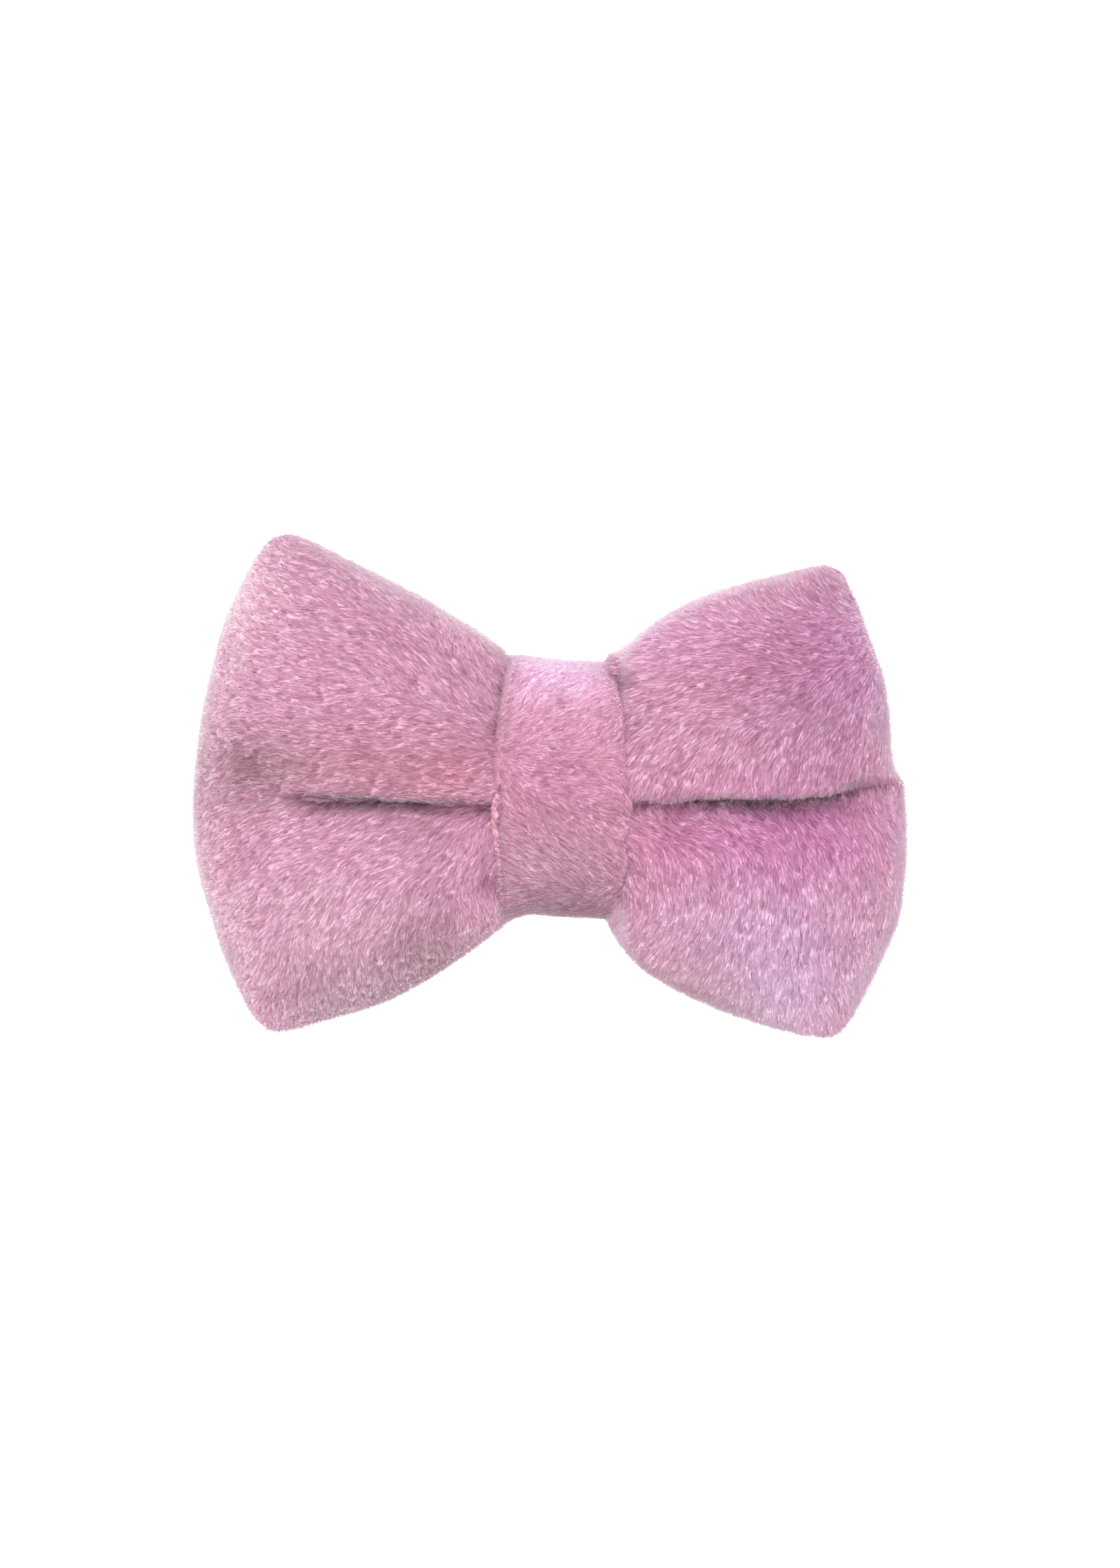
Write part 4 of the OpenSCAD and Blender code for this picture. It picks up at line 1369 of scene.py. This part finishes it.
def edge_seam():
    """Running stitches just inside the turned edge, which step from face to face."""
    edge = 0.955
    t = np.linspace(0, 1, 9)
    fixed = np.full(9, edge)

    def stitches(start, length, count):
        for k in range(count):
            first = start + length * k / count
            last = start + length * (k + 0.76) / count
            yield first + (last - first) * t

    paths = []
    for wing in WINGS:
        runs = [(span, row) for row in (fixed, -fixed) for span in stitches(0.13, 0.78, 13)]
        runs += [(fixed, rise) for rise in stitches(-0.92, 1.84, 24)]
        for k, run in enumerate(runs):
            flat = wing.plane(*run)
            arch = 0.12 * np.sin(math.pi * t) * (1 if k % 2 else -1)
            paths.append(np.stack([flat[:, 0], SEAM_Y + arch, flat[:, 1]], 1))
    return paths


def binding_path():
    """Eight turns of thread round the waist."""
    turns = 8
    half_y, half_z, half_x = 9.55, 19.35, 3.15
    angle = np.linspace(0, 2 * math.pi * turns, 96 * turns)
    ring_y, ring_z = oval(angle, 2.4)
    x = -half_x + 2 * half_x * angle / angle[-1] + 0.12 * np.sin(angle * 1.7)
    return [np.stack([x, SEAM_Y + half_y * ring_y, half_z * ring_z], 1)]


# one stitch over the felt's upper edge: x from the stitch's place, y, z
FELT_STITCH = [(-0.5, -1.75, 4.9), (-0.35, -1.62, 5.4), (-0.1, -1.6, 6.2), (0, -1.62, 6.8),
               (0.05, -1.85, 7.18), (0.1, -2.4, 7.3), (0.12, -3.1, 7.28), (0.15, -3.85, 7.2)]


def felt_whip():
    """Stitches over the long edges of the felt, down into the wrap."""
    count, pitch = 6, 4.0
    paths = []
    for k in range(count):
        for end in (-1, 1):
            place = (k - (count - 1) / 2) * pitch + 0.35 * math.sin(7.1 * k + end)
            points = [(place + x, y, end * z) for x, y, z in FELT_STITCH]
            paths.append(spline(points, np.linspace(0, 1, 22)))
    return paths


def wrap_close():
    """Slanting stitches behind, across the middle of the wrap."""
    count, pitch, half = 9, 2.3, 2.1
    z = np.linspace(-half, half, 13)
    y = -3.42 + 0.18 * np.cos(z / half * math.pi / 2)
    return [np.stack([(k - (count - 1) / 2) * pitch + 0.25 * z, y, z], 1) for k in range(count)]


thread_piece("seam_thread", edge_seam(), "edge_stitches", radius=0.18)
thread_piece("waist_thread", binding_path(), "waist_binding", radius=0.21)
thread_piece("felt_whip_stitches", felt_whip(), "felt_stitches", radius=0.21)
thread_piece("wrap_closing_stitches", wrap_close(), "wrap_stitches", radius=0.17)


# ------------------------------------------------------------------ felt, glue, ribbon

def rounded_outline(half_x, half_z, radius):
    """Evenly walked x, z outline of a rounded rectangle."""
    spacing = 0.35
    mid_x, mid_z = half_x - radius, half_z - radius
    # start and end of each straight side, and the middle of the corner after it
    sides = [((half_x, -mid_z), (half_x, mid_z), (mid_x, mid_z)),
             ((mid_x, half_z), (-mid_x, half_z), (-mid_x, mid_z)),
             ((-half_x, mid_z), (-half_x, -mid_z), (-mid_x, -mid_z)),
             ((-mid_x, -half_z), (mid_x, -half_z), (mid_x, -mid_z))]
    outline = []
    for k, (start, end, middle) in enumerate(sides):
        start, end, middle = np.array(start), np.array(end), np.array(middle)
        count = max(2, int(np.linalg.norm(end - start) / spacing))
        outline += [start + (end - start) * t for t in np.linspace(0, 1, count, endpoint=False)]
        count = max(4, int(radius * math.pi / 2 / spacing))
        for degrees in np.linspace(0, 90, count, endpoint=False):
            angle = math.radians(90 * k + degrees)
            outline.append(middle + radius * np.array([math.cos(angle), math.sin(angle)]))
    return np.array(outline)


def slab(name, node, long, wide, radius, y_range, material, rough, seed, wobble):
    """A rounded flat pad with soft edges and uneven faces, closed."""
    edge, edge_steps = 0.3, 5
    half_x, half_z = long / 2, wide / 2
    half = np.array([half_x, half_z])
    outline = rounded_outline(half_x, half_z, radius)
    places = np.stack([outline[:, 0], outline[:, 1], 0 * outline[:, 0]], 1)
    outline = outline * (1 + wobble * noise(places, 4.0, seed)[:, None])
    # from the middle of the front face, over the edge, to the middle of the back face:
    # share of the half width, height over the half thickness
    shares = np.linspace(0.1, 1.0, max(6, int(wide / 2 / 0.45)))
    profile = [(share, -1.0) for share in shares]
    for k in range(1, edge_steps):
        angle = -math.pi / 2 + math.pi * k / edge_steps
        profile.append((1 + edge * math.cos(angle), math.sin(angle)))
    profile += [(share, 1.0) for share in shares[::-1]]
    y_low, y_high = y_range
    rings = []
    for share, height in profile:
        if share <= 1:
            # distance in from the rim, so the face keeps even spacing
            scale = np.array([(half_x - half_z * (1 - share)) / half_x, share])
            ring = outline * scale * ((half - edge) / half)
        else:
            ring = outline * ((half - edge + (share - 1)) / half)
        y = (y_low + y_high) / 2 + (y_high - y_low) / 2 * height
        rings.append(np.stack([ring[:, 0], np.full(len(ring), y), ring[:, 1]], 1))
    rings = np.array(rings)
    heights = np.array([height for _, height in profile])[:, None]
    uneven = rough * (noise(rings, 0.9, seed) + 0.6 * noise(rings, 0.45, seed + 1))
    rings[..., 1] += uneven * heights
    ids = id_grid(*rings.shape[:2])
    faces = ring_faces(ids) + [ids[0][::-1].tolist(), ids[-1].tolist()]
    piece = make_object(name, rings.reshape(-1, 3), faces, material)
    face_outward(piece, weld=2e-6)
    on_bow(piece, node)


slab("felt_patch", "backing_felt", long=46, wide=14, radius=5, y_range=(-3.0, -1.95),
     material=FELT, rough=0.045, seed=71, wobble=0.006)
slab("glue_bead", "glue_layer", long=40, wide=8.2, radius=3.4, y_range=(-1.86, -1.5),
     material=GLUE, rough=0.02, seed=72, wobble=0.05)


def ribbon():
    """Grosgrain strip with cross ribs, woven selvedges and heat-sealed ends."""
    rib_pitch, rib_height = 0.66, 0.055
    low, high = (np.array(corner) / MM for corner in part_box("clip_ribbon"))
    rows, cols = ((640, 30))
    x, across = np.meshgrid(np.linspace(low[0], high[0], rows), np.linspace(-1, 1, cols),
                            indexing="ij")
    half = (high[2] - low[2]) / 2
    rib = np.cos(x * 2 * math.pi / rib_pitch)
    selvedge = bell(1 - np.abs(across), 0.09)
    z = across * (half - 0.08 + 0.06 * rib * (np.abs(across) > 0.999))
    melt = bell(np.minimum(x - x[0, 0], x[-1, 0] - x), 0.35)
    grain = noise(np.stack([x, 0 * x, z], -1), 0.5, 91) * 0.015
    mid = (low[1] + high[1]) / 2
    thick = (high[1] - low[1]) / 2 - 0.06
    ribbed = rib_height * rib * (1 - selvedge)
    woven = 0.05 * selvedge * np.cos(x * 4 * math.pi / rib_pitch)
    rear = np.stack([x, mid + thick + ribbed + woven + grain - 0.1 * melt, z], -1)
    front = np.stack([x, mid - thick + ribbed + grain + 0.1 * melt, z], -1)
    ids = id_grid(rows, cols)
    below = rows * cols
    faces = grid_faces(ids, False) + grid_faces(ids + below, True)
    rim = [*ids[:, 0], *ids[-1, 1:], *ids[-2::-1, -1], *ids[0, -2:0:-1]]
    for k in range(len(rim)):
        here, after = int(rim[k]), int(rim[(k + 1) % len(rim)])
        faces.append([after, here, here + below, after + below])
    points = np.concatenate([rear.reshape(-1, 3), front.reshape(-1, 3)])
    piece = make_object("grosgrain_ribbon", points, faces, RIBBON)
    face_outward(piece)
    on_bow(piece, "clip_ribbon")


ribbon()


# ------------------------------------------------------------------ clip

HINGE = (-0.010, 0.0024)        # x, y of the pin, metres


def spring():
    """Round wire: a leg on the plate, turns about the pin, a leg under the lever."""
    coil_radius, wire, half = 1.3, 0.28, 1.4
    hinge_x, hinge_y = (value / MM for value in HINGE)
    angle = np.linspace(math.radians(107.2), math.radians(240.2 - 360 * 4), 210)
    coil = np.stack([hinge_x + coil_radius * np.cos(angle), hinge_y + coil_radius * np.sin(angle),
                     np.linspace(-half, half, len(angle))], 1)
    plate_leg = np.linspace([-20.5, 0.5, -half], coil[0], 26)[:-1]
    lever_leg = np.linspace(coil[-1], [-20.6, 6.9, half], 26)[1:]
    path = np.concatenate([plate_leg, coil, lever_leg])
    for _ in range(3):
        path[1:-1] = (path[:-2] + 2 * path[1:-1] + path[2:]) / 4
    points, faces = tube(path, wire * taper(len(path), 0.7), sides=12)
    piece = make_object("torsion_spring", points, faces, SPRING_STEEL)
    face_outward(piece)
    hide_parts("clip_spring")
    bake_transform(piece)


def finish_clip(node, material, bevel):
    """Gives a CAD piece of the clip its steel and softened edges."""
    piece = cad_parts[node]
    piece.data.materials.clear()
    piece.data.materials.append(material)
    weld = piece.modifiers.new("weld", "WELD")
    weld.merge_threshold = 1e-6
    edges = piece.modifiers.new("edges", "BEVEL")
    edges.width = bevel * MM
    edges.segments = 2
    edges.limit_method = "ANGLE"
    edges.angle_limit = math.radians(35)
    edges.use_clamp_overlap = True
    normals = piece.modifiers.new("normals", "WEIGHTED_NORMAL")
    normals.keep_sharp = True


spring()
finish_clip("clip_plate", CLIP_STEEL, bevel=0.16)
finish_clip("clip_lever", CLIP_STEEL, bevel=0.14)
finish_clip("clip_pin", PIN_STEEL, bevel=0.12)


# ------------------------------------------------------------------ studio

def bowl():
    """A pale floor that curves up all round, so the backdrop is even from every side."""
    floor_z, flat_radius, curve, wall_top = -160, 1200, 1100, 3200
    curve_steps, sides = 12, 72
    profile = [(0.0, floor_z), (flat_radius, floor_z)]
    for k in range(1, curve_steps + 1):
        angle = math.pi / 2 * k / curve_steps
        profile.append((flat_radius + curve * math.sin(angle),
                        floor_z + curve * (1 - math.cos(angle))))
    profile.append((flat_radius + curve, wall_top))
    points = []
    for radius, z in profile:
        for k in range(sides):
            angle = 2 * math.pi * k / sides
            points.append((radius * math.cos(angle), radius * math.sin(angle), z))
    floor = make_object("studio_floor", points, ring_faces(id_grid(len(profile), sides)),
                        paper_material("studio_paper"))


def area_light(name, place, size, power, colour=(1, 1, 1)):
    """A round light aimed at the origin; metres and watts."""
    light = bpy.data.lights.new(name, "AREA")
    light.shape = "DISK"
    light.size = size
    light.energy = power
    light.color = colour
    lamp = bpy.data.objects.new(name, light)
    lamp.location = place
    lamp.rotation_mode = "QUATERNION"
    lamp.rotation_quaternion = (-Vector(place)).to_track_quat("-Z", "Y")
    lamp.visible_camera = False
    bpy.context.scene.collection.objects.link(lamp)


bowl()
area_light("key", (-0.35, -0.75, 1.05), size=0.45, power=7.0, colour=(1.0, 0.985, 0.97))
area_light("fill", (0.8, -0.9, 0.25), size=0.9, power=1.2, colour=(0.97, 0.98, 1.0))
area_light("top", (-0.1, 0.1, 1.2), size=0.5, power=4.0, colour=(1.0, 0.99, 0.98))
area_light("rear", (0.3, 0.95, 0.7), size=0.6, power=5.0)

world = bpy.data.worlds.new("studio")
bpy.context.scene.world = world
world.use_nodes = True
background = world.node_tree.nodes["Background"]
background.inputs["Color"].default_value = (1, 1, 1, 1)
background.inputs["Strength"].default_value = 0.7

VIEW_SIZE = 278.565 * MM        # what the sensor's width takes in at the seam plane
VIEW_X, VIEW_Z = -0.245, 0.6125     # where the camera looks, mm
DISTANCE = 0.9                  # from the seam plane, metres
SENSOR = 36

lens = bpy.data.cameras.new("camera")
camera = bpy.data.objects.new("camera", lens)
bpy.context.scene.collection.objects.link(camera)
lens.sensor_width = SENSOR
lens.lens = SENSOR * DISTANCE / VIEW_SIZE
lens.clip_start = 0.05
lens.clip_end = 20
camera.location = (VIEW_X * MM, SEAM_Y * MM - DISTANCE, VIEW_Z * MM)
camera.rotation_euler = (math.pi / 2, 0, 0)
bpy.context.scene.camera = camera
bpy.context.scene.view_settings.view_transform = "Standard"
